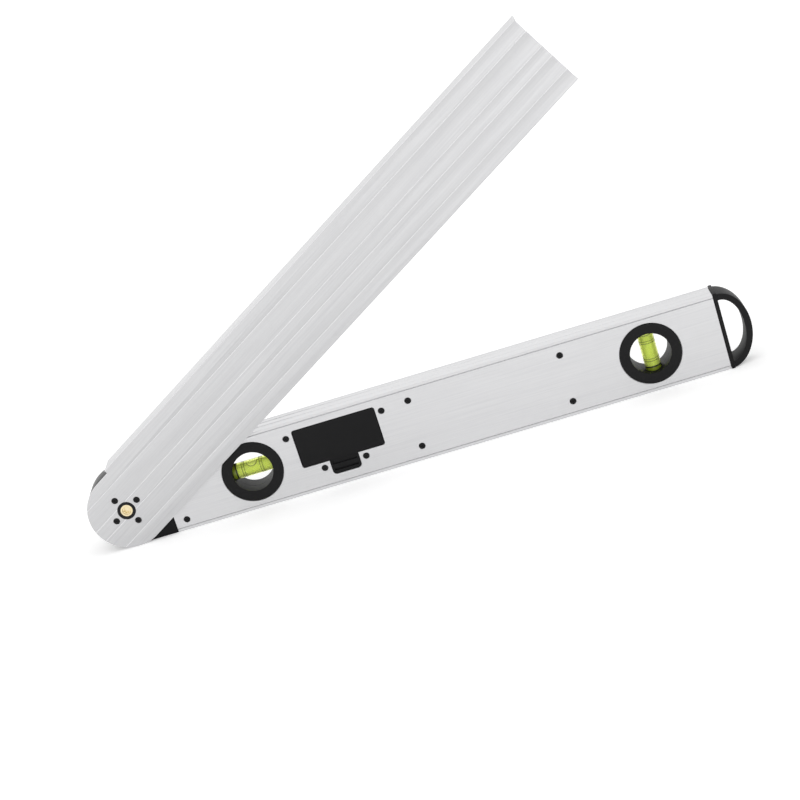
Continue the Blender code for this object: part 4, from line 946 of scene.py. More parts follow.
@dataclass(frozen=True)
class Screw:
    """A countersunk screw with a cross recess."""

    head: float = 0.0020
    head_depth: float = 0.0010
    shank: float = 0.0010
    tip_gap: float = 0.0005
    slot_length: float = 0.0023
    slot_width: float = 0.0005
    slot_depth: float = 0.0006
    edge: float = 0.00015

    def space(self, length: float = 0.0040) -> bmesh.types.BMesh:
        """The space that a screw with its head at y = 0 needs.

        Args:
            length: how deep it goes.

        Returns:
            The cutter.
        """
        head, shank, tip = self.head + GAP, self.shank + GAP, length + self.tip_gap
        profile = [(0, -OVERRUN), (head, -OVERRUN), (head, 0), (shank, self.head_depth)]
        profile += [(shank, tip), (0, tip)]
        return turned(profile, 32)

    def shape(self, length: float, turn: float) -> bmesh.types.BMesh:
        """One screw with its head at y = 0 and its shank along +y.

        Args:
            length: its whole length.
            turn: how far its recess is turned.

        Returns:
            The shape.
        """
        profile = [
            (0, 0),
            (self.head - self.edge, 0),
            (self.head, self.edge),
            (self.shank, self.head_depth),
            (self.shank, length),
            (0, length),
        ]
        half, width = self.slot_length / 2, self.slot_width / 2
        slots = [
            block(rectangle(-half, half, -width, width), -OVERRUN, self.slot_depth),
            block(rectangle(-width, width, -half, half), -OVERRUN, self.slot_depth),
        ]
        for slot in slots:
            moved(slot, Matrix.Rotation(turn, 4, "Y"))
        return combined(turned(profile, 32), slots, Operation.CUT)


@dataclass(frozen=True)
class ScrewGroup:
    """Screws of one length on one face."""

    name: str
    places: tuple[Point, ...]
    face: float
    length: float
    swings: bool = False

    def spaces(self, length: float = 0.0040) -> list[bmesh.types.BMesh]:
        """The cutters for all the group's screws.

        Args:
            length: how deep they go.

        Returns:
            One cutter a screw.
        """
        return [shifted(SCREW.space(length), (x, self.face, z)) for x, z in self.places]


SCREW = Screw()
TRAY_SCREWS = ScrewGroup(
    "tray_screw",
    ((0.1124, 0.0146), (0.1763, 0.0146), (0.1304, -0.0116), (0.1582, -0.0116)),
    -LAYOUT.half_depth,
    0.0062,
)
DISPLAY_SCREWS = ScrewGroup(
    "display_screw",
    ((0.1944, 0.0160), (0.1944, -0.0160), (0.2951, 0.0160), (0.2951, -0.0160)),
    -LAYOUT.half_depth,
    0.0085,
)
HOUSING_SCREWS = ScrewGroup(
    "housing_screw", ((0.0345, 0.0185), (0.0345, -0.0185)), -LAYOUT.half_depth, 0.0070
)
HUB_SCREWS = ScrewGroup(
    "hub_screw",
    ((0.0099, 0), (0, 0.0099), (-0.0099, 0), (0, -0.0099)),
    LAYOUT.plate_outer,
    0.0062,
    swings=True,
)
MAIN_SCREWS = (TRAY_SCREWS, DISPLAY_SCREWS, HOUSING_SCREWS)


@dataclass
class Screws:
    """All the screws on the back."""

    first_turn: float = 0.35
    turn_step: float = 0.83

    def build(self, builder: Builder) -> None:
        """Builds every screw."""
        count = 0
        for group in (*MAIN_SCREWS, HUB_SCREWS):
            frame = LAYOUT.swing() if group.swings else LAYOUT.main()
            body = Body.SWING if group.swings else Body.MAIN
            for index, (x, z) in enumerate(group.places):
                shape = SCREW.shape(group.length, self.first_turn + self.turn_step * count)
                count += 1
                builder.piece(
                    f"{group.name}_{index + 1}_crossed",
                    shifted(shape, (x, group.face, z)),
                    FINISHES.black_steel,
                    body.value,
                    frame,
                    "blackened_steel",
                    [f"{group.name}_{index + 1}"],
                )


@dataclass
class VialRing:
    """One half of a vial's ring: a flange on the arm's face and a barrel to mid-depth."""

    radius: float = 0.0200
    bore: float = 0.01325
    barrel: float = 0.0170
    flange: float = 0.0010
    rounding: float = 0.0005
    front_seat: float = 0.0
    back_seat: float = 0.0008
    seat_radius: float = 0.0055

    def space(self) -> bmesh.types.BMesh:
        """The stepped hole that a pair of rings needs in the arm."""
        out = LAYOUT.half_depth + OVERRUN
        seat = LAYOUT.half_depth - self.back_seat
        profile = [
            (0, -out),
            (self.radius + GAP, -out),
            (self.radius + GAP, -seat),
            (self.barrel + GAP, -seat),
            (self.barrel + GAP, out),
            (0, out),
        ]
        return turned(profile, 96)

    def build(self, builder: Builder, kind: str, place: float, axis: Axis, front: bool) -> None:
        """Builds one ring.

        Args:
            builder: makes the piece.
            kind: the vial's name.
            place: x of the vial.
            axis: how the vial lies.
            front: whether it is the ring on the display's side.
        """
        seat = LAYOUT.half_depth - (self.front_seat if front else self.back_seat) + GAP
        face = seat + self.flange
        curve = self.rounding
        angles = [math.pi / 2 * step / 4 for step in range(5)]
        profile = [(self.bore, GAP / 2)]
        for angle in angles:
            drawn, sunk = curve * (1 - math.cos(angle)), curve * (1 - math.sin(angle))
            profile.append((self.bore + drawn, face - sunk))
        for angle in angles:
            drawn, sunk = curve * (1 - math.sin(angle)), curve * (1 - math.cos(angle))
            profile.append((self.radius - drawn, face - sunk))
        profile += [(self.radius, seat), (self.barrel, seat), (self.barrel, GAP / 2)]
        bm = turned(profile, 96)
        if not front:
            moved(bm, Matrix.Rotation(math.pi, 4, "Z"))
        reach = self.barrel + OVERRUN
        space = turned(
            [(0, -reach), (self.seat_radius, -reach), (self.seat_radius, reach), (0, reach)], 48
        )
        bm = combined(bm, [moved(space, axis.matrix())], Operation.CUT)
        side = "front" if front else "back"
        builder.piece(
            f"{kind}_ring_{side}_turned",
            shifted(bm, (place, 0, 0)),
            FINISHES.ring_abs,
            Body.MAIN.value,
            LAYOUT.main(),
            "black_abs",
            [f"{kind}_ring_{side}"],
        )


@dataclass
class Vial:
    """A bubble vial: acrylic tube and plug, spirit, bubble and printed rings, with painted shade at
    the bubble's edge, in a band and over one end.
    """

    kind: str
    place: float
    axis: Axis
    bubble_at: tuple[float, float, float]
    radius: float = 0.0052
    length: float = 0.0310
    wall: float = 0.0010
    plug: float = 0.0020
    edge: float = 0.0003
    bubble_length: float = 0.0078
    bubble_radius: float = 0.0030
    bubble_through: float = 0.0060
    bubble_rim: float = 0.0006
    bubble_sink: float = 0.0001
    line_places: tuple[float, ...] = (-0.0068, -0.0053, 0.0053, 0.0068)
    line_width: float = 0.0003
    line_height: float = 0.00008
    # The band is painted shadow: a dark ring of ink where the ring's bore shades the tube.
    band: Point = (-0.0112, -0.0102)

    def add(
        self,
        builder: Builder,
        name: str,
        bm: bmesh.types.BMesh,
        finish: Finish,
        slot: str,
        replaces: Sequence[str] = (),
    ) -> None:
        """Adds one piece of the vial.

        Args:
            builder: makes the piece.
            name: its name.
            bm: its shape about the vial's middle.
            finish: its finish.
            slot: its material slot.
            replaces: the CAD nodes that it stands for.
        """
        builder.piece(
            f"{self.kind}_{name}",
            shifted(bm, (self.place, 0, 0)),
            finish,
            Body.MAIN.value,
            LAYOUT.main(),
            slot,
            replaces,
        )

    def rod(self, profile: Sequence[Point]) -> bmesh.types.BMesh:
        """A turned shape that lies as the vial does."""
        return moved(turned(profile, 64), self.axis.matrix())

    def sleeve(self, first: float, last: float) -> bmesh.types.BMesh:
        """A thin ring of ink round the tube between two places along it."""
        low, high = self.radius, self.radius + self.line_height
        return self.rod([(low, first), (high, first), (high, last), (low, last)])

    def bubble(self, length: float, across: float, through: float) -> bmesh.types.BMesh:
        """An egg shape in the bubble's place.

        Args:
            length: half its length along the vial.
            across: half its size in the plane of the arm.
            through: half its size through the arm.

        Returns:
            The shape.
        """
        bm = bmesh.new()
        bmesh.ops.create_uvsphere(bm, u_segments=32, v_segments=20, radius=1)
        if self.axis is Axis.ALONG_X:
            sizes = (length, through, across)
        else:
            sizes = (through, through, length)
        bmesh.ops.scale(bm, vec=Vector(sizes), verts=bm.verts)
        return shifted(bm, self.bubble_at)

    def build(self, builder: Builder) -> None:
        """Builds the vial with its two rings."""
        for front in (True, False):
            VialRing().build(builder, self.kind, self.place, self.axis, front)
        half = self.length / 2
        bore = self.radius - self.wall
        edge = self.edge
        tube = [
            (0, -half),
            (self.radius - edge, -half),
            (self.radius, edge - half),
            (self.radius, half - edge),
            (self.radius - edge, half),
            (bore, half),
            (bore, self.wall - half),
            (0, self.wall - half),
        ]
        nodes = f"{self.kind}_vial"
        self.add(
            builder, "tube", self.rod(tube), FINISHES.acrylic, "clear_acrylic", [f"{nodes}_tube"]
        )
        inside = bore - GAP
        end = half - GAP
        start = end - self.plug
        plug = self.rod([(0, start), (inside, start), (inside, end), (0, end)])
        self.add(builder, "plug", plug, FINISHES.plug_and_end_shade, "clear_acrylic", [f"{nodes}_plug"])
        low, high = self.wall - half + GAP, start - GAP
        column = [(0, low), (inside, low), (inside, high), (0, high)]
        length, across = self.bubble_length / 2, self.bubble_radius
        through = self.bubble_through
        space = self.bubble(length, across, through)
        spirit = combined(self.rod(column), [space], Operation.CUT)
        self.add(builder, "spirit", spirit, FINISHES.spirit, "vial_spirit", [f"{nodes}_spirit"])
        rim = self.bubble_rim
        sunk = inside - self.bubble_sink
        core = [(0, low), (sunk, low), (sunk, high), (0, high)]
        # Painted shade: a dark shell round the bubble makes the dark line at its edge.
        edge_shade = self.bubble(length - WELD, across - WELD, 0.8 * through)
        edge_shade = combined(edge_shade, [self.rod(core)], Operation.KEEP)
        self.add(builder, "bubble_edge_shade", edge_shade, FINISHES.ink_and_painted_shade, "vial_spirit")
        # Painted light: the pale bubble glows.
        pale = self.bubble(length - rim, across - rim, 0.9 * through)
        pale = combined(pale, [self.rod(column)], Operation.KEEP)
        self.add(builder, "bubble_air_glow", pale, FINISHES.bubble, "vial_spirit")
        half = self.line_width / 2
        lines = [self.sleeve(at - half, at + half) for at in self.line_places]
        # Painted shadow: the band's ring of ink joins the printed lines.
        lines.append(self.sleeve(*self.band))
        self.add(builder, "printed_lines_and_shadow_band", joined(lines), FINISHES.ink_and_painted_shade, "clear_acrylic")
        # Painted shade: the plug's colour over the tube's end.
        shade = self.sleeve(self.edge - self.length / 2, self.band[0])
        self.add(builder, "end_shade", shade, FINISHES.plug_and_end_shade, "clear_acrylic")


VIALS = (
    Vial("level", 0.0853, Axis.ALONG_X, (0.0, 0.0, 0.0039)),
    Vial("plumb", 0.3508, Axis.ALONG_Z, (0.0, 0.0, 0.0129)),
)


@dataclass
class Button:
    """A leaning key: cap, flange under the bezel and stem."""

    name: str
    x: float
    z: float
    leans_down: bool
    finish: Finish
    slot: str
    width: float = 0.0066
    height: float = 0.0070
    slant: float = 0.0040
    corner: float = 0.0013
    edge: float = 0.0004
    flange: float = 0.0008
    flange_back: float = 0.0092
    flange_front: float = 0.0100
    top: float = 0.0126
    stem_inset: float = 0.0022
    stem_end: float = 0.0070

    def cap(self, spread: float, low: float, high: float) -> bmesh.types.BMesh:
        """The leaning outline drawn along y.

        Args:
            spread: how far it is spread.
            low: y of its back.
            high: y of its front.

        Returns:
            The closed shape with rounded corners.
        """
        half_width = self.width / 2 + spread
        half_height = self.height / 2 + spread
        lean = self.slant / 2 * (1 if self.leans_down else -1)
        corners = rectangle(-half_width, half_width, -half_height, half_height)
        outline = [(self.x + px + lean * pz / half_height, self.z + pz) for px, pz in corners]
        bm = block(outline, low, high)
        round_corners(bm, self.corner, 5)
        return bm

    def build(self, builder: Builder) -> None:
        """Builds the key."""
        cap = self.cap(0, self.flange_back, self.top)
        bevel(cap, rim_at(cap, self.top), self.edge, 3)
        flange = self.cap(self.flange, self.flange_back, self.flange_front)
        middle = (self.flange_back + self.flange_front) / 2
        stem = self.cap(self.flange - self.stem_inset, self.stem_end, middle)
        bm = combined(cap, [flange, stem], Operation.ADD)
        builder.piece(
            f"{self.name}_cap", bm, self.finish, self.name, LAYOUT.main(), self.slot, [self.name]
        )


BUTTONS = (
    Button("power_button", 0.2013, 0.0057, True, FINISHES.grey_key, "grey_key_plastic"),
    Button("hold_button", 0.1851, 0.0057, True, FINISHES.red_key, "red_key_plastic"),
    Button("mode_button", 0.2013, -0.0063, False, FINISHES.grey_key, "grey_key_plastic"),
    Button("sides_button", 0.1851, -0.0063, False, FINISHES.grey_key, "grey_key_plastic"),
)


@dataclass
class Bezel:
    """The eight-sided display bezel with its sunken panels, window and key holes."""

    start: float = 0.1690
    end: float = 0.2810
    height: float = 0.0420
    long_corner: Point = (0.0072, 0.0108)
    short_corner: Point = (0.0060, 0.0066)
    back: float = 0.0103
    front: float = 0.0123
    edge: float = 0.0007
    corner: float = 0.0008
    skirt_inset: float = 0.0032
    skirt_wall: float = 0.0014
    skirt_end: float = 0.0045
    panel_face: float = 0.0117
    panel_height: float = 0.0356
    panel_corner: float = 0.0040
    panel_spans: tuple[Point, Point] = ((0.2136, 0.2735), (0.1725, 0.2100))
    panel_edge: float = 0.0008
    hole_edge: float = 0.0002
    window_corner: float = 0.0006
    window: tuple[float, float, float, float] = (0.2171, 0.2693, -0.0114, 0.0122)

    def outline(self, inset: float) -> list[Point]:
        """The outer outline, or the same drawn in by an inset."""
        start, end = self.start + inset, self.end - inset
        top = self.height / 2 - inset
        long_x, long_z = self.long_corner
        short_x, short_z = self.short_corner
        return [
            (start + long_x, -top),
            (end - short_x, -top),
            (end, short_z - top),
            (end, top - short_z),
            (end - short_x, top),
            (start + long_x, top),
            (start, top - long_z),
            (start, long_z - top),
        ]

    def build(self, builder: Builder) -> None:
        """Builds the bezel."""
        bm = block(self.outline(0), self.back, self.front)
        round_corners(bm, self.corner, 4)
        bevel(bm, rim_at(bm, self.front), self.edge, 4)
        inset = self.skirt_inset
        skirt = block(self.outline(inset), self.skirt_end, (self.back + self.front) / 2)
        bm = combined(bm, [skirt], Operation.ADD)
        inside = self.outline(inset + self.skirt_wall)
        over = self.front + OVERRUN
        half = self.panel_height / 2
        cuts = [block(inside, self.skirt_end - OVERRUN, self.back)]
        for start, end in self.panel_spans:
            panel = block(rectangle(start, end, -half, half), self.panel_face, over)
            round_corners(panel, self.panel_corner, 8)
            cuts.append(panel)
        bm = combined(bm, cuts, Operation.CUT)
        self.soften(bm, self.front, self.panel_edge)
        window = block(rectangle(*self.window), self.back - OVERRUN, over)
        round_corners(window, self.window_corner, 4)
        holes = [window]
        holes += [button.cap(GAP, self.back - OVERRUN, over) for button in BUTTONS]
        bm = combined(bm, holes, Operation.CUT)
        self.soften(bm, self.panel_face, self.hole_edge)
        builder.piece(
            "display_bezel_frame",
            bm,
            FINISHES.bezel_abs,
            Body.MAIN.value,
            LAYOUT.main(),
            "black_abs",
            ["display_bezel"],
        )

    def soften(self, bm: bmesh.types.BMesh, level: float, width: float) -> None:
        """Rounds the upper edges of the openings in one face.

        Args:
            bm: the bezel.
            level: the face's y.
            width: the rounding.
        """
        edges = [
            e
            for e in sharp_edges(bm, math.radians(60))
            if all(abs(v.co.y - level) < WELD for v in e.verts)
            and any(f.normal.y > 0.99 for f in e.link_faces)
            and all(f.calc_center_median().y < level + WELD for f in e.link_faces)
        ]
        bevel(bm, edges, width, 3)


@dataclass
class Display:
    """The LCD glass behind the window, with its three plain figures and degree sign."""

    glass: tuple[float, float, float, float] = (0.2149, 0.2715, -0.0136, 0.0144)
    front: float = 0.0087
    back: float = 0.0070
    digit_places: tuple[float, ...] = (0.2432, 0.2353, 0.2273)
    digit_width: float = 0.0057
    digit_low: float = -0.0055
    digit_high: float = 0.0078
    stroke: float = 0.0006
    top_stroke: float = 0.0011
    joint: float = 0.00035
    film_back: float = 0.00871
    film_front: float = 0.00875
    sign_place: Point = (0.2220, 0.0098)
    sign_radius: float = 0.0009

    def bar(self, start: float, end: float, low: float, high: float) -> bmesh.types.BMesh:
        """One thin bar on the glass."""
        return block(rectangle(start, end, low, high), self.film_back, self.film_front)

    def digit(self, centre: float) -> list[bmesh.types.BMesh]:
        """The six bars of a nought.

        Args:
            centre: x of its middle.

        Returns:
            The bars.
        """
        half = self.digit_width / 2
        left, right = centre - half, centre + half
        low, high = self.digit_low, self.digit_high
        middle = (low + high) / 2
        gap, stroke = self.joint, self.stroke
        bars = [
            self.bar(left + gap, right - gap, low, low + stroke),
            self.bar(left + gap, right - gap, high - self.top_stroke, high),
        ]
        for start in (left, right - stroke):
            bars.append(self.bar(start, start + stroke, low + gap, middle - gap / 2))
            bars.append(self.bar(start, start + stroke, middle + gap / 2, high - gap))
        return bars

    def build(self, builder: Builder) -> None:
        """Builds the glass, the figures and the sign."""
        builder.piece(
            "lcd_glass",
            block(rectangle(*self.glass), self.back, self.front),
            FINISHES.lcd,
            Body.MAIN.value,
            LAYOUT.main(),
            "lcd_glass",
            ["lcd_panel"],
        )
        shapes = [bar for centre in self.digit_places for bar in self.digit(centre)]
        inner, outer = self.sign_radius - self.stroke, self.sign_radius
        low, high = self.film_back, self.film_front
        sign = turned([(inner, low), (outer, low), (outer, high), (inner, high)], 24)
        x, z = self.sign_place
        shapes.append(shifted(sign, (x, 0, z)))
        builder.piece(
            "lcd_figures",
            joined(shapes),
            FINISHES.segment,
            Body.MAIN.value,
            LAYOUT.main(),
            "lcd_glass",
        )


@dataclass
class BatteryCover:
    """The black battery cover with its latch tab."""

    start: float = 0.1171
    end: float = 0.1721
    low: float = -0.0075
    high: float = 0.0185
    corner: float = 0.0018
    tab_start: float = 0.1349
    tab_end: float = 0.1537
    tab_drop: float = 0.0100
    tab_corner: float = 0.0027
    outside: float = -0.0100
    inside: float = -0.0086
    edge: float = 0.00035
    grip_inset: float = 0.0012
    grip_corner: float = 0.0006
    grip_depth: float = 0.0011
    grip_shares: tuple[Point, ...] = ((0.22, 0.38), (0.64, 1.00))
    lug_starts: tuple[float, float] = (0.1267, 0.1575)
    lug_width: float = 0.0050
    lug_reach: float = 0.0017
    lug_front: float = -0.0073
    tongue_width: float = 0.0100
    tongue_low: float = -0.0120
    tongue_high: float = -0.0110
    tongue_front: float = -0.0056

    def plates(self, spread: float, low: float, high: float) -> list[bmesh.types.BMesh]:
        """The body and the tab drawn along y.

        Args:
            spread: how far they are spread.
            low: y of their back.
            high: y of their front.

        Returns:
            The two shapes with rounded corners.
        """
        body = rectangle(
            self.start - spread, self.end + spread, self.low - spread, self.high + spread
        )
        tab = rectangle(
            self.tab_start - spread,
            self.tab_end + spread,
            self.low - self.tab_drop - spread,
            self.low + 2 * self.tab_corner,
        )
        shapes = [block(outline, low, high) for outline in (body, tab)]
        for shape, corner in zip(shapes, (self.corner, self.tab_corner)):
            round_corners(shape, corner)
        return shapes

    def build(self, builder: Builder) -> None:
        """Builds the cover."""
        plate, tab = self.plates(0, self.outside, self.inside)
        bm = combined(plate, [tab], Operation.ADD)
        bmesh.ops.dissolve_limit(bm, angle_limit=0.01, verts=bm.verts, edges=bm.edges)
        rim = [
            e
            for e in sharp_edges(bm, math.radians(60))
            if all(abs(v.co.y - self.outside) < WELD for v in e.verts)
        ]
        bevel(bm, rim, self.edge, 3)
        bottom = self.low - self.tab_drop
        grips = []
        for first, last in self.grip_shares:
            outline = rectangle(
                self.tab_start + self.grip_inset,
                self.tab_end - self.grip_inset,
                bottom + first * self.tab_drop,
                bottom + last * self.tab_drop,
            )
            grip = block(outline, self.outside - OVERRUN, self.outside + self.grip_depth)
            round_corners(grip, self.grip_corner, 3)
            grips.append(grip)
        bm = combined(bm, grips, Operation.CUT)
        middle = (self.tab_start + self.tab_end) / 2
        half = self.tongue_width / 2
        within = (self.outside + self.grip_depth + self.inside) / 2
        tongue = rectangle(middle - half, middle + half, self.tongue_low, self.tongue_high)
        extras = [block(tongue, within, self.tongue_front)]
        back = self.inside + GAP
        for start in self.lug_starts:
            end = start + self.lug_width
            low, high = self.high - self.lug_reach, self.high + self.lug_reach
            extras.append(block(rectangle(start, end, low, high), back, self.lug_front))
            root = rectangle(start, end, low, self.high - GAP)
            extras.append(block(root, self.inside - GAP, back + GAP))
        bm = combined(bm, extras, Operation.ADD)
        builder.piece(
            "battery_cover_moulded",
            bm,
            FINISHES.cover_abs,
            Body.COVER.value,
            LAYOUT.main(),
            "black_abs",
            ["battery_cover"],
        )


@dataclass
class MainArm:
    """The aluminium box section, with its grooves and its openings."""

    wall: float = 0.0014
    edge: float = 0.0004
    side_inset: float = 0.0022
    side_width: float = 0.0007
    top_spacing: float = 0.0070
    top_width: float = 0.0009
    groove_depth: float = 0.0005

    def section(self) -> list[Point]:
        """The outer section, across and up, with grooves and broken corners."""
        half_y, half_z = LAYOUT.half_depth, LAYOUT.half_height
        side = half_z - self.side_inset
        across = self.top_spacing / 2
        half = self.top_width / 2
        drawn = CORNER_SHARE * self.edge
        quarter = [
            (half_y, side - self.side_width / 2),
            (half_y - self.groove_depth, side),
            (half_y, side + self.side_width / 2),
            (half_y, half_z - self.edge),
            (half_y - drawn, half_z - drawn),
            (half_y - self.edge, half_z),
            (across + half, half_z),
            (across, half_z - self.groove_depth),
            (across - half, half_z),
        ]
        upper = quarter + [(-y, z) for y, z in reversed(quarter)]
        return upper + [(-y, -z) for y, z in upper]

    def build(self, builder: Builder) -> None:
        """Builds the arm."""
        start, end = LAYOUT.arm_start, LAYOUT.arm_end
        half_y = LAYOUT.half_depth - self.wall
        half_z = LAYOUT.half_height - self.wall
        inside = rectangle(-half_y, half_y, -half_z, half_z)
        out = LAYOUT.half_depth + OVERRUN
        bezel = Bezel()
        cuts = [bar(inside, start - OVERRUN, end + OVERRUN)]
        cuts += [shifted(VialRing().space(), (vial.place, 0, 0)) for vial in VIALS]
        cuts.append(block(bezel.outline(bezel.skirt_inset - GAP), 0, out))
        cuts += BatteryCover().plates(GAP, -out, 0)
        for group in MAIN_SCREWS:
            cuts += group.spaces()
        bm = combined(bar(self.section(), start, end), cuts, Operation.CUT)
        builder.piece(
            "main_arm_section",
            bm,
            FINISHES.main_aluminium,
            Body.MAIN.value,
            LAYOUT.main(),
            "satin_aluminium",
            ["main_arm"],
        )


@dataclass
class SwingArm:
    """The aluminium L section: a plate behind the main arm and a flange over it."""

    length: float = 0.3972
    inner: float = -0.0109
    flange_start: float = 0.0114
    flange_front: float = 0.0075
    flange_low: float = 0.0259
    flange_high: float = 0.0279
    edge: float = 0.0003
    groove_shares: tuple[float, ...] = (0.18, 0.43, 0.59, 0.82)
    groove_width: float = 0.0007
    groove_depth: float = 0.0002
    boss_radius: float = 0.0060
    steps: int = 64

    def plate(self) -> bmesh.types.BMesh:
        """The plate with its round end."""
        half, outer = LAYOUT.half_height, LAYOUT.plate_outer
        turn = [-math.pi / 2 - math.pi * step / self.steps for step in range(self.steps + 1)]
        outline = [(self.length, -half)]
        outline += [(half * math.cos(a), half * math.sin(a)) for a in turn]
        outline += [
            (self.flange_start, half),
            (self.flange_start, self.flange_high),
            (self.length, self.flange_high),
        ]
        bm = block(outline, outer, self.inner)
        bevel(bm, rim_at(bm, outer), self.edge, 2)
        return bm

    def build(self, builder: Builder) -> None:
        """Builds the arm."""
        half, outer = LAYOUT.half_height, LAYOUT.plate_outer
        outline = rectangle(self.flange_start, self.length, self.flange_low, self.flange_high)
        flange = block(outline, outer + 2 * self.edge, self.flange_front)
        bevel(flange, rim_at(flange, self.flange_front), self.edge, 2)
        bm = combined(self.plate(), [flange], Operation.ADD)
        cuts = []
        for share in self.groove_shares:
            centre = self.flange_high - share * (self.flange_high + half)
            low, high = centre - self.groove_width / 2, centre + self.groove_width / 2
            section = [
                (outer - OVERRUN, low),
                (outer, low),
                (outer + self.groove_depth, centre),
                (outer, high),
                (outer - OVERRUN, high),
            ]
            cuts.append(bar(section, -half - OVERRUN, self.length + OVERRUN))
        back = outer - OVERRUN
        boss = [(0, back), (self.boss_radius, back), (self.boss_radius, 0), (0, 0)]
        cuts += [turned(boss, 96), *HUB_SCREWS.spaces()]
        builder.piece(
            "swing_arm_section",
            combined(bm, cuts, Operation.CUT),
            FINISHES.swing_aluminium,
            Body.SWING.value,
            LAYOUT.swing(),
            "satin_aluminium",
            ["swing_arm"],
        )


@dataclass
class PivotHousing:
    """The black housing at the pivot, round at its end and flat where it meets the arm."""

    radius: float = 0.0255
    end: float = 0.0265
    half_depth: float = 0.0100
    rounding: float = 0.0009
    pocket_radius: float = 0.0220
    pocket_floor: float = 0.0050
    bore_radius: float = 0.0073
    tongue_end: float = 0.0418
    tongue_half_height: float = 0.0238
    tongue_half_depth: float = 0.0083
    hollow_start: float = 0.0180
    hollow_half_height: float = 0.0140
    hollow_back: float = -0.0065
    hollow_front: float = 0.0045
    groove_height: float = 0.0233
    groove_width: float = 0.0005
    groove_depth: float = 0.0003
    steps: int = 128

    def shell(self) -> bmesh.types.BMesh:
        """The solid outside: half a disc drawn out to a square end."""
        bm = bmesh.new()
        bmesh.ops.create_circle(bm, cap_ends=True, segments=self.steps, radius=self.radius)
        moved(bm, Matrix.Rotation(math.pi / 2, 4, "X"))
        for vert in bm.verts:
            if vert.co.x > WELD:
                vert.co = Vector((self.end, 0, math.copysign(self.radius, vert.co.z)))
        bmesh.ops.remove_doubles(bm, verts=bm.verts, dist=WELD)
        bmesh.ops.translate(bm, verts=bm.verts, vec=Vector((0, -self.half_depth, 0)))
        made = bmesh.ops.extrude_face_region(bm, geom=list(bm.faces))
        tips = [item for item in made["geom"] if isinstance(item, bmesh.types.BMVert)]
        bmesh.ops.translate(bm, verts=tips, vec=Vector((0, 2 * self.half_depth, 0)))
        bmesh.ops.recalc_face_normals(bm, faces=bm.faces)
        rim = [
            e
            for e in rim_at(bm, self.half_depth) + rim_at(bm, -self.half_depth)
            if not all(v.co.x > self.end - WELD for v in e.verts)
        ]
        bevel(bm, rim, self.rounding, 4)
        return bm

    def build(self, builder: Builder) -> None:
        """Builds the housing."""
        deep, tall = self.tongue_half_depth, self.tongue_half_height
        outline = rectangle(self.end - OVERRUN, self.tongue_end, -tall, tall)
        bm = combined(self.shell(), [block(outline, -deep, deep)], Operation.ADD)
        back = -self.half_depth - OVERRUN
        pocket = [
            (0, back),
            (self.pocket_radius, back),
            (self.pocket_radius, self.pocket_floor),
            (self.bore_radius, self.pocket_floor),
            (self.bore_radius, self.half_depth + OVERRUN),
            (0, self.half_depth + OVERRUN),
        ]
        tall = self.hollow_half_height
        outline = rectangle(self.hollow_start, self.tongue_end + OVERRUN, -tall, tall)
        cuts = [turned(pocket, self.steps), block(outline, self.hollow_back, self.hollow_front)]
        half = self.groove_width / 2
        face = self.half_depth - self.groove_depth
        for z in (self.groove_height, -self.groove_height):
            groove = rectangle(-self.radius, self.end + OVERRUN, z - half, z + half)
            cuts.append(block(groove, face, -back))
        cuts += HOUSING_SCREWS.spaces(HOUSING_SCREWS.length)
        builder.piece(
            "pivot_housing_shell",
            combined(bm, cuts, Operation.CUT),
            FINISHES.housing_abs,
            Body.MAIN.value,
            LAYOUT.main(),
            "black_abs",
            ["pivot_housing"],
        )


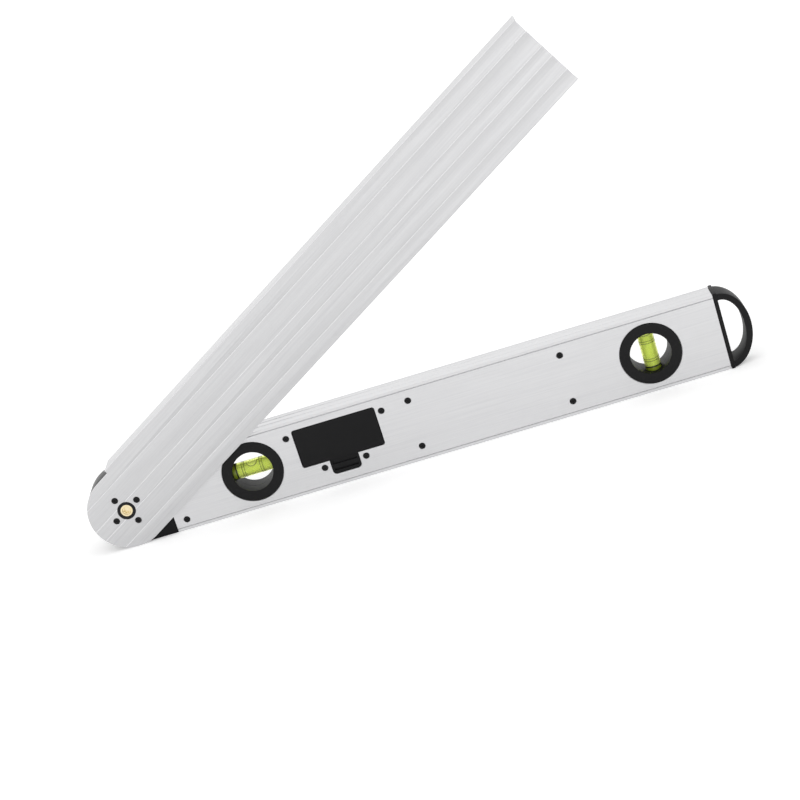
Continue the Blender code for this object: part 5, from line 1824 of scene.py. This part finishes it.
@dataclass
class PivotHub:
    """The hub that turns with the swing arm, and the brass bolt through it."""

    bore: float = 0.0033
    neck: float = 0.0070
    neck_end: float = 0.0080
    shoulder: float = 0.0120
    shoulder_front: float = 0.0007
    flange: float = 0.0145
    flange_front: float = -0.0050
    flange_back: float = -0.0106
    boss: float = 0.00565
    boss_back: float = -0.0135
    head_bore: float = 0.0043
    head_seat: float = -0.0093
    head: float = 0.0040
    head_back: float = -0.0131
    head_front: float = -0.0096
    shaft: float = 0.0030
    tip: float = 0.0207
    edge: float = 0.00025
    socket_radius: float = 0.0024
    socket_depth: float = 0.0022
    socket_share: float = 0.68
    socket_points: int = 6
    sink_radius: float = 0.0030
    sink_depth: float = 0.0006

    def socket(self) -> bmesh.types.BMesh:
        """The star-shaped space of the bolt's recess."""
        count = 2 * self.socket_points
        outline = []
        for step in range(count):
            angle = 2 * math.pi * step / count
            reach = self.socket_radius * (1 if step % 2 else self.socket_share)
            outline.append((reach * math.cos(angle), reach * math.sin(angle)))
        bm = block(outline, self.head_back - OVERRUN, self.head_back + self.socket_depth)
        round_corners(bm, self.edge, 2)
        return bm

    def build(self, builder: Builder) -> None:
        """Builds the hub and the bolt."""
        edge = self.edge
        drawn = CORNER_SHARE * edge
        profile = [
            (self.bore, self.neck_end),
            (self.neck, self.neck_end),
            (self.neck, self.shoulder_front),
            (self.shoulder, self.shoulder_front),
            (self.shoulder, self.flange_front),
            (self.flange, self.flange_front),
            (self.flange, self.flange_back),
            (self.boss, self.flange_back),
            (self.boss, self.boss_back + edge),
            (self.boss - drawn, self.boss_back + drawn),
            (self.boss - edge, self.boss_back),
            (self.head_bore, self.boss_back),
            (self.head_bore, self.head_seat),
            (self.bore, self.head_seat),
        ]
        holes = HUB_SCREWS.spaces(HUB_SCREWS.length)
        builder.piece(
            "pivot_hub",
            combined(turned(profile, 96), holes, Operation.CUT),
            FINISHES.black_abs,
            Body.SWING.value,
            LAYOUT.swing(),
            "black_abs",
            ["rotor_hub"],
        )
        profile = [
            (0, self.head_back),
            (self.head - edge, self.head_back),
            (self.head - drawn, self.head_back + drawn),
            (self.head, self.head_back + edge),
            (self.head, self.head_front),
            (self.shaft, self.head_front),
            (self.shaft, self.tip - edge),
            (self.shaft - edge, self.tip),
            (0, self.tip),
        ]
        out, bottom = self.head_back - GAP, self.head_back + self.sink_depth
        sink = [(0, out), (self.sink_radius, out), (self.socket_radius, bottom), (0, bottom)]
        builder.piece(
            "pivot_bolt_turned",
            combined(turned(profile, 64), [turned(sink, 64), self.socket()], Operation.CUT),
            FINISHES.brass,
            Body.SWING.value,
            LAYOUT.swing(),
            "turned_brass",
            ["pivot_bolt"],
        )


@dataclass
class ClampKnob:
    """The scalloped knob with a dished face."""

    base: float = 0.0116
    height: float = 0.0150
    radius: float = 0.0205
    lobes: int = 12
    points_per_lobe: int = 16
    lobe_depth: float = 0.0011
    lobe_power: float = 1.3
    rounding: float = 0.0016
    rounding_steps: int = 6
    lobe_fade: float = 0.35
    foot: float = 0.0004
    rim_width: float = 0.0030
    dish_depth: float = 0.0009
    dish_curve: tuple[Point, ...] = ((0.0, 0.0), (0.6, 0.1), (1.0, 0.35), (1.3, 0.75), (1.6, 1.0))
    dish_floor: tuple[Point, ...] = ((0.5, 0.9), (0.02, 0.85))
    bore_radius: float = 0.0056
    bore_depth: float = 0.0104
    hollow_radius: float = 0.0166
    hollow_depth: float = 0.0115
    boss_radius: float = 0.0080

    def ring(self, radius: float, level: float, share: float) -> Callable[[float], Vector]:
        """The place on one lobed ring at each angle.

        Args:
            radius: the ring's largest radius.
            level: its y.
            share: how much of the lobes' depth it has.

        Returns:
            A function from an angle to a place.
        """

        def place(angle: float) -> Vector:
            wave = ((1 - math.cos(self.lobes * angle)) / 2) ** self.lobe_power
            reach = radius - self.lobe_depth * share * wave
            return Vector((reach * math.cos(angle), level, reach * math.sin(angle)))

        return place

    def rings(self) -> list[Callable[[float], Vector]]:
        """The knob's rings from its foot, over its rim and down its dish."""
        top = self.base + self.height
        rim = self.radius - self.lobe_depth - self.rounding
        inner = rim - self.rim_width
        found = [
            self.ring(self.radius - self.foot, self.base, 1.0),
            self.ring(self.radius, self.base + self.foot, 1.0),
        ]
        for step in range(self.rounding_steps + 1):
            share = step / self.rounding_steps
            angle = math.pi / 2 * share
            drawn = self.rounding * (1 - math.cos(angle))
            level = top - self.rounding * (1 - math.sin(angle))
            found.append(self.ring(self.radius - drawn, level, 1.0 - self.lobe_fade * share))
        return found + [
            self.ring(rim - inward * self.rim_width, top - down * self.dish_depth, 0.0)
            for inward, down in self.dish_curve
        ] + [
            self.ring(share * inner, top - down * self.dish_depth, 0.0)
            for share, down in self.dish_floor
        ]

    def build(self, builder: Builder) -> None:
        """Builds the knob."""
        bm = stacked(self.rings(), self.lobes * self.points_per_lobe)
        below = self.base - OVERRUN
        deep = self.base + self.hollow_depth
        hollow = [
            (self.boss_radius, below),
            (self.hollow_radius, below),
            (self.hollow_radius, deep),
            (self.boss_radius, deep),
        ]
        end = self.base + self.bore_depth
        bore = [(0, below), (self.bore_radius, below), (self.bore_radius, end), (0, end)]
        builder.piece(
            "clamp_knob_lobed",
            combined(bm, [turned(hollow, 96), turned(bore, 64)], Operation.CUT),
            FINISHES.knob_nylon,
            Body.KNOB.value,
            LAYOUT.main(),
            "black_nylon",
            ["clamp_knob"],
        )


@dataclass
class EndCapHandle:
    """The black end cap with its hand loop."""

    start: float = 0.3978
    end: float = 0.4002
    half_depth: float = 0.0103
    low: float = -0.0255
    high: float = 0.0261
    edge: float = 0.0004
    tongue_start: float = 0.3898
    tongue_half_depth: float = 0.0083
    tongue_half_height: float = 0.0238
    tongue_wall: float = 0.0016
    reach: float = 0.0173
    half_height: float = 0.0252
    bar: float = 0.0043
    root_half_depth: float = 0.0095
    apex_half_depth: float = 0.0057
    rounding: float = 0.0012
    steps: int = 64

    def loop(self, base: float, reach: float, half: float, spread: float) -> bmesh.types.BMesh:
        """Half an ellipse that stands on the plate, deeper at its root than at its apex.

        Args:
            base: x of the straight side.
            reach: how far it stands out.
            half: half its height.
            spread: how far it runs past both faces, as a cutter does.

        Returns:
            The closed shape.
        """
        turn = [math.pi * (step / self.steps - 0.5) for step in range(self.steps + 1)]
        outline = [(base + reach * math.cos(a), half * math.sin(a)) for a in turn]
        bm = block(outline, -1.0, 1.0)
        for vert in bm.verts:
            share = (vert.co.x - self.end) / self.reach
            depth = self.root_half_depth + (self.apex_half_depth - self.root_half_depth) * share
            vert.co.y *= depth + spread
        return bm

    def build(self, builder: Builder) -> None:
        """Builds the cap."""
        middle = (self.start + self.end) / 2
        outer = self.loop(middle, self.reach + self.end - middle, self.half_height, 0)
        tall = self.half_height - self.bar
        inner = self.loop(self.end, self.reach - self.bar, tall, OVERRUN)
        bm = combined(outer, [inner], Operation.CUT)
        rims = [
            e
            for e in sharp_edges(bm, math.radians(50))
            if max(v.co.x for v in e.verts) > self.end + WELD
            and any(abs(f.normal.y) > 0.8 for f in e.link_faces)
        ]
        bevel(bm, rims, self.rounding, 4)
        deep = self.half_depth
        plate = block(rectangle(self.start, self.end, self.low, self.high), -deep, deep)
        bevel(plate, list(plate.edges), self.edge, 2)
        deep, tall, wall = self.tongue_half_depth, self.tongue_half_height, self.tongue_wall
        tongue = block(rectangle(self.tongue_start, middle, -tall, tall), -deep, deep)
        bm = combined(bm, [plate, tongue], Operation.ADD)
        outline = rectangle(self.tongue_start - OVERRUN, self.start, wall - tall, tall - wall)
        bm = combined(bm, [block(outline, wall - deep, deep - wall)], Operation.CUT)
        builder.piece(
            "end_cap_loop",
            bm,
            FINISHES.ring_abs,
            Body.MAIN.value,
            LAYOUT.main(),
            "black_abs",
            ["end_cap_handle"],
        )


def background_rays(tree: bpy.types.NodeTree) -> bpy.types.NodeSocket:
    """Tells the rays that show the background from those that light the tool.

    Args:
        tree: the node tree that reads it.

    Returns:
        A value of 1 for camera, glossy and transmission rays, and 0 for the others.
    """
    rays = add_node(tree, "ShaderNodeLightPath").outputs
    seen = rays["Is Camera Ray"]
    for kind in ("Is Glossy Ray", "Is Transmission Ray"):
        seen = add_node(
            tree, "ShaderNodeMath", {"operation": "MAXIMUM"}, {0: seen, 1: rays[kind]}
        ).outputs[0]
    return seen


@dataclass(frozen=True)
class Stage:
    """The pale floor and the soft light round the tool."""

    floor_size: float = 6.0
    floor_colour: str = "F4F4F4"
    near_lift: float = 0.30
    far_lift: float = 1.0
    near: float = 0.45
    far: float = 1.3
    ambient: float = 0.78
    lamps: tuple[tuple[str, tuple[float, float, float], float, float], ...] = (
        ("key", (0.9, 1.1, 1.5), 2.2, 6.0),
        ("fill", (-1.2, 0.9, 0.9), 2.2, 3.0),
        ("front", (0.5, -1.4, 1.2), 2.2, 4.0),
    )

    def floor_material(self) -> bpy.types.Material:
        """A white floor that keeps the shadow near the tool and is plain white far off.

        Returns:
            The material.
        """
        material = bpy.data.materials.new("white_floor")
        material.use_nodes = True
        tree = material.node_tree
        shader = tree.nodes["Principled BSDF"]
        shader.inputs["Base Color"].default_value = linear(self.floor_colour)
        shader.inputs["Roughness"].default_value = 0.9
        shader.inputs["Emission Color"].default_value = (1.0, 1.0, 1.0, 1.0)
        place = add_node(tree, "ShaderNodeTexCoord").outputs["Object"]
        away = add_node(
            tree, "ShaderNodeVectorMath", {"operation": "LENGTH"}, {0: place}
        ).outputs["Value"]
        lift = add_node(
            tree,
            "ShaderNodeMapRange",
            {"interpolation_type": "SMOOTHSTEP"},
            {
                "Value": away,
                "From Min": self.near,
                "From Max": self.far,
                "To Min": self.near_lift,
                "To Max": self.far_lift,
            },
        ).outputs["Result"]
        strength = add_node(
            tree,
            "ShaderNodeMath",
            {"operation": "MULTIPLY"},
            {0: lift, 1: background_rays(tree)},
        ).outputs[0]
        tree.links.new(strength, shader.inputs["Emission Strength"])
        return material

    def build(self) -> None:
        """Makes the floor, the world and the lamps."""
        bm = bmesh.new()
        bmesh.ops.create_grid(bm, x_segments=1, y_segments=1, size=self.floor_size)
        mesh = bpy.data.meshes.new("floor")
        bm.to_mesh(mesh)
        bm.free()
        mesh.materials.append(self.floor_material())
        floor = bpy.data.objects.new("floor", mesh)
        bpy.context.scene.collection.objects.link(floor)
        world = bpy.data.worlds.new("studio")
        bpy.context.scene.world = world
        world.use_nodes = True
        tree = world.node_tree
        strength = add_node(
            tree,
            "ShaderNodeMapRange",
            {},
            {"Value": background_rays(tree), "To Min": self.ambient, "To Max": 1.0},
        ).outputs["Result"]
        background = tree.nodes["Background"]
        background.inputs["Color"].default_value = (1.0, 1.0, 1.0, 1.0)
        tree.links.new(strength, background.inputs["Strength"])
        for name, place, size, power in self.lamps:
            lamp = bpy.data.lights.new(name, "AREA")
            lamp.size = size
            lamp.energy = power
            obj = bpy.data.objects.new(name, lamp)
            bpy.context.scene.collection.objects.link(obj)
            obj.location = place
            obj.rotation_euler = (-Vector(place)).to_track_quat("-Z", "Y").to_euler()


@dataclass(frozen=True)
class PhotoCamera:
    """The camera as fitted to the photograph's upper picture: behind the tool, high and rolled."""

    tilt: float = math.radians(17.92)
    swing: float = math.radians(-4.04)
    roll: float = math.radians(16.59)
    shift: tuple[float, float, float] = (-0.17626, -0.07038, -1.3968)
    focal_pixels: float = 2163
    picture_pixels: float = 800
    sensor_mm: float = 36.0
    near: float = 0.01
    far: float = 50.0

    def place(self) -> Matrix:
        """The camera's place in the row frame."""
        turn = (
            Matrix.Rotation(self.roll, 4, "Z")
            @ Matrix.Rotation(self.swing, 4, "Y")
            @ Matrix.Rotation(self.tilt, 4, "X")
        )
        to_plane = Matrix(((-1, 0, 0, 0), (0, 0, 1, 0), (0, 1, 0, 0), (0, 0, 0, 1)))
        origin = Matrix.Translation((-LAYOUT.pivot_x, -LAYOUT.half_depth, -LAYOUT.pivot_z))
        return (Matrix.Translation(self.shift) @ turn @ to_plane @ origin).inverted()

    def build(self) -> None:
        """Makes the camera and sets it as the scene's."""
        data = bpy.data.cameras.new("camera")
        data.sensor_width = self.sensor_mm
        data.lens = self.sensor_mm * self.focal_pixels / self.picture_pixels
        data.clip_start = self.near
        data.clip_end = self.far
        camera = bpy.data.objects.new("camera", data)
        bpy.context.scene.collection.objects.link(camera)
        camera.matrix_world = self.place()
        bpy.context.scene.camera = camera


def dress_nodes(nodes: dict[str, bpy.types.Object]) -> None:
    """Gives each CAD node that stays its finish.

    Args:
        nodes: the CAD nodes by name.
    """
    groups: dict[str, tuple[str, ...]] = {
        "slip": ("friction_ring",),
        "board": ("sensor_board", "circuit_board"),
        "copper": ("sensor_rotor",),
        "brass": ("knob_insert",),
        "zinc": (
            "thrust_washer",
            "lower_contact_plate",
            "upper_contact_plate",
            "lower_contact_spring",
            "upper_contact_spring",
        ),
        "silicone": ("button_mat",),
        "diffuser": ("backlight",),
        "window": ("display_window",),
        "wrapper": ("lower_cell", "upper_cell"),
        "ribbon": ("sensor_ribbon",),
        "red_wire": ("battery_lead_red",),
        "black_wire": ("battery_lead_black",),
    }
    named = {name: finish for finish, names in groups.items() for name in names}
    for name, node in nodes.items():
        finish: Finish = getattr(FINISHES, named.get(name, "black_abs"))
        node.data.materials.clear()
        node.data.materials.append(finish.build())


def main() -> None:
    """Builds the looks in order."""
    logging.basicConfig(level=logging.INFO, format="%(message)s")
    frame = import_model()
    PhotoCamera().build()
    Stage().build()
    dress_nodes(frame["nodes"])
    builder = Builder()
    for assembly in (
        MainArm(),
        SwingArm(),
        PivotHousing(),
        PivotHub(),
        ClampKnob(),
        EndCapHandle(),
        *VIALS,
        Bezel(),
        *BUTTONS,
        Display(),
        BatteryCover(),
        Screws(),
    ):
        assembly.build(builder)
    bpy.context.scene.view_settings.view_transform = "Standard"
    bpy.context.view_layer.update()
    LOG.info("%d pieces", len(builder.made))


if __name__ == "__main__":
    main()
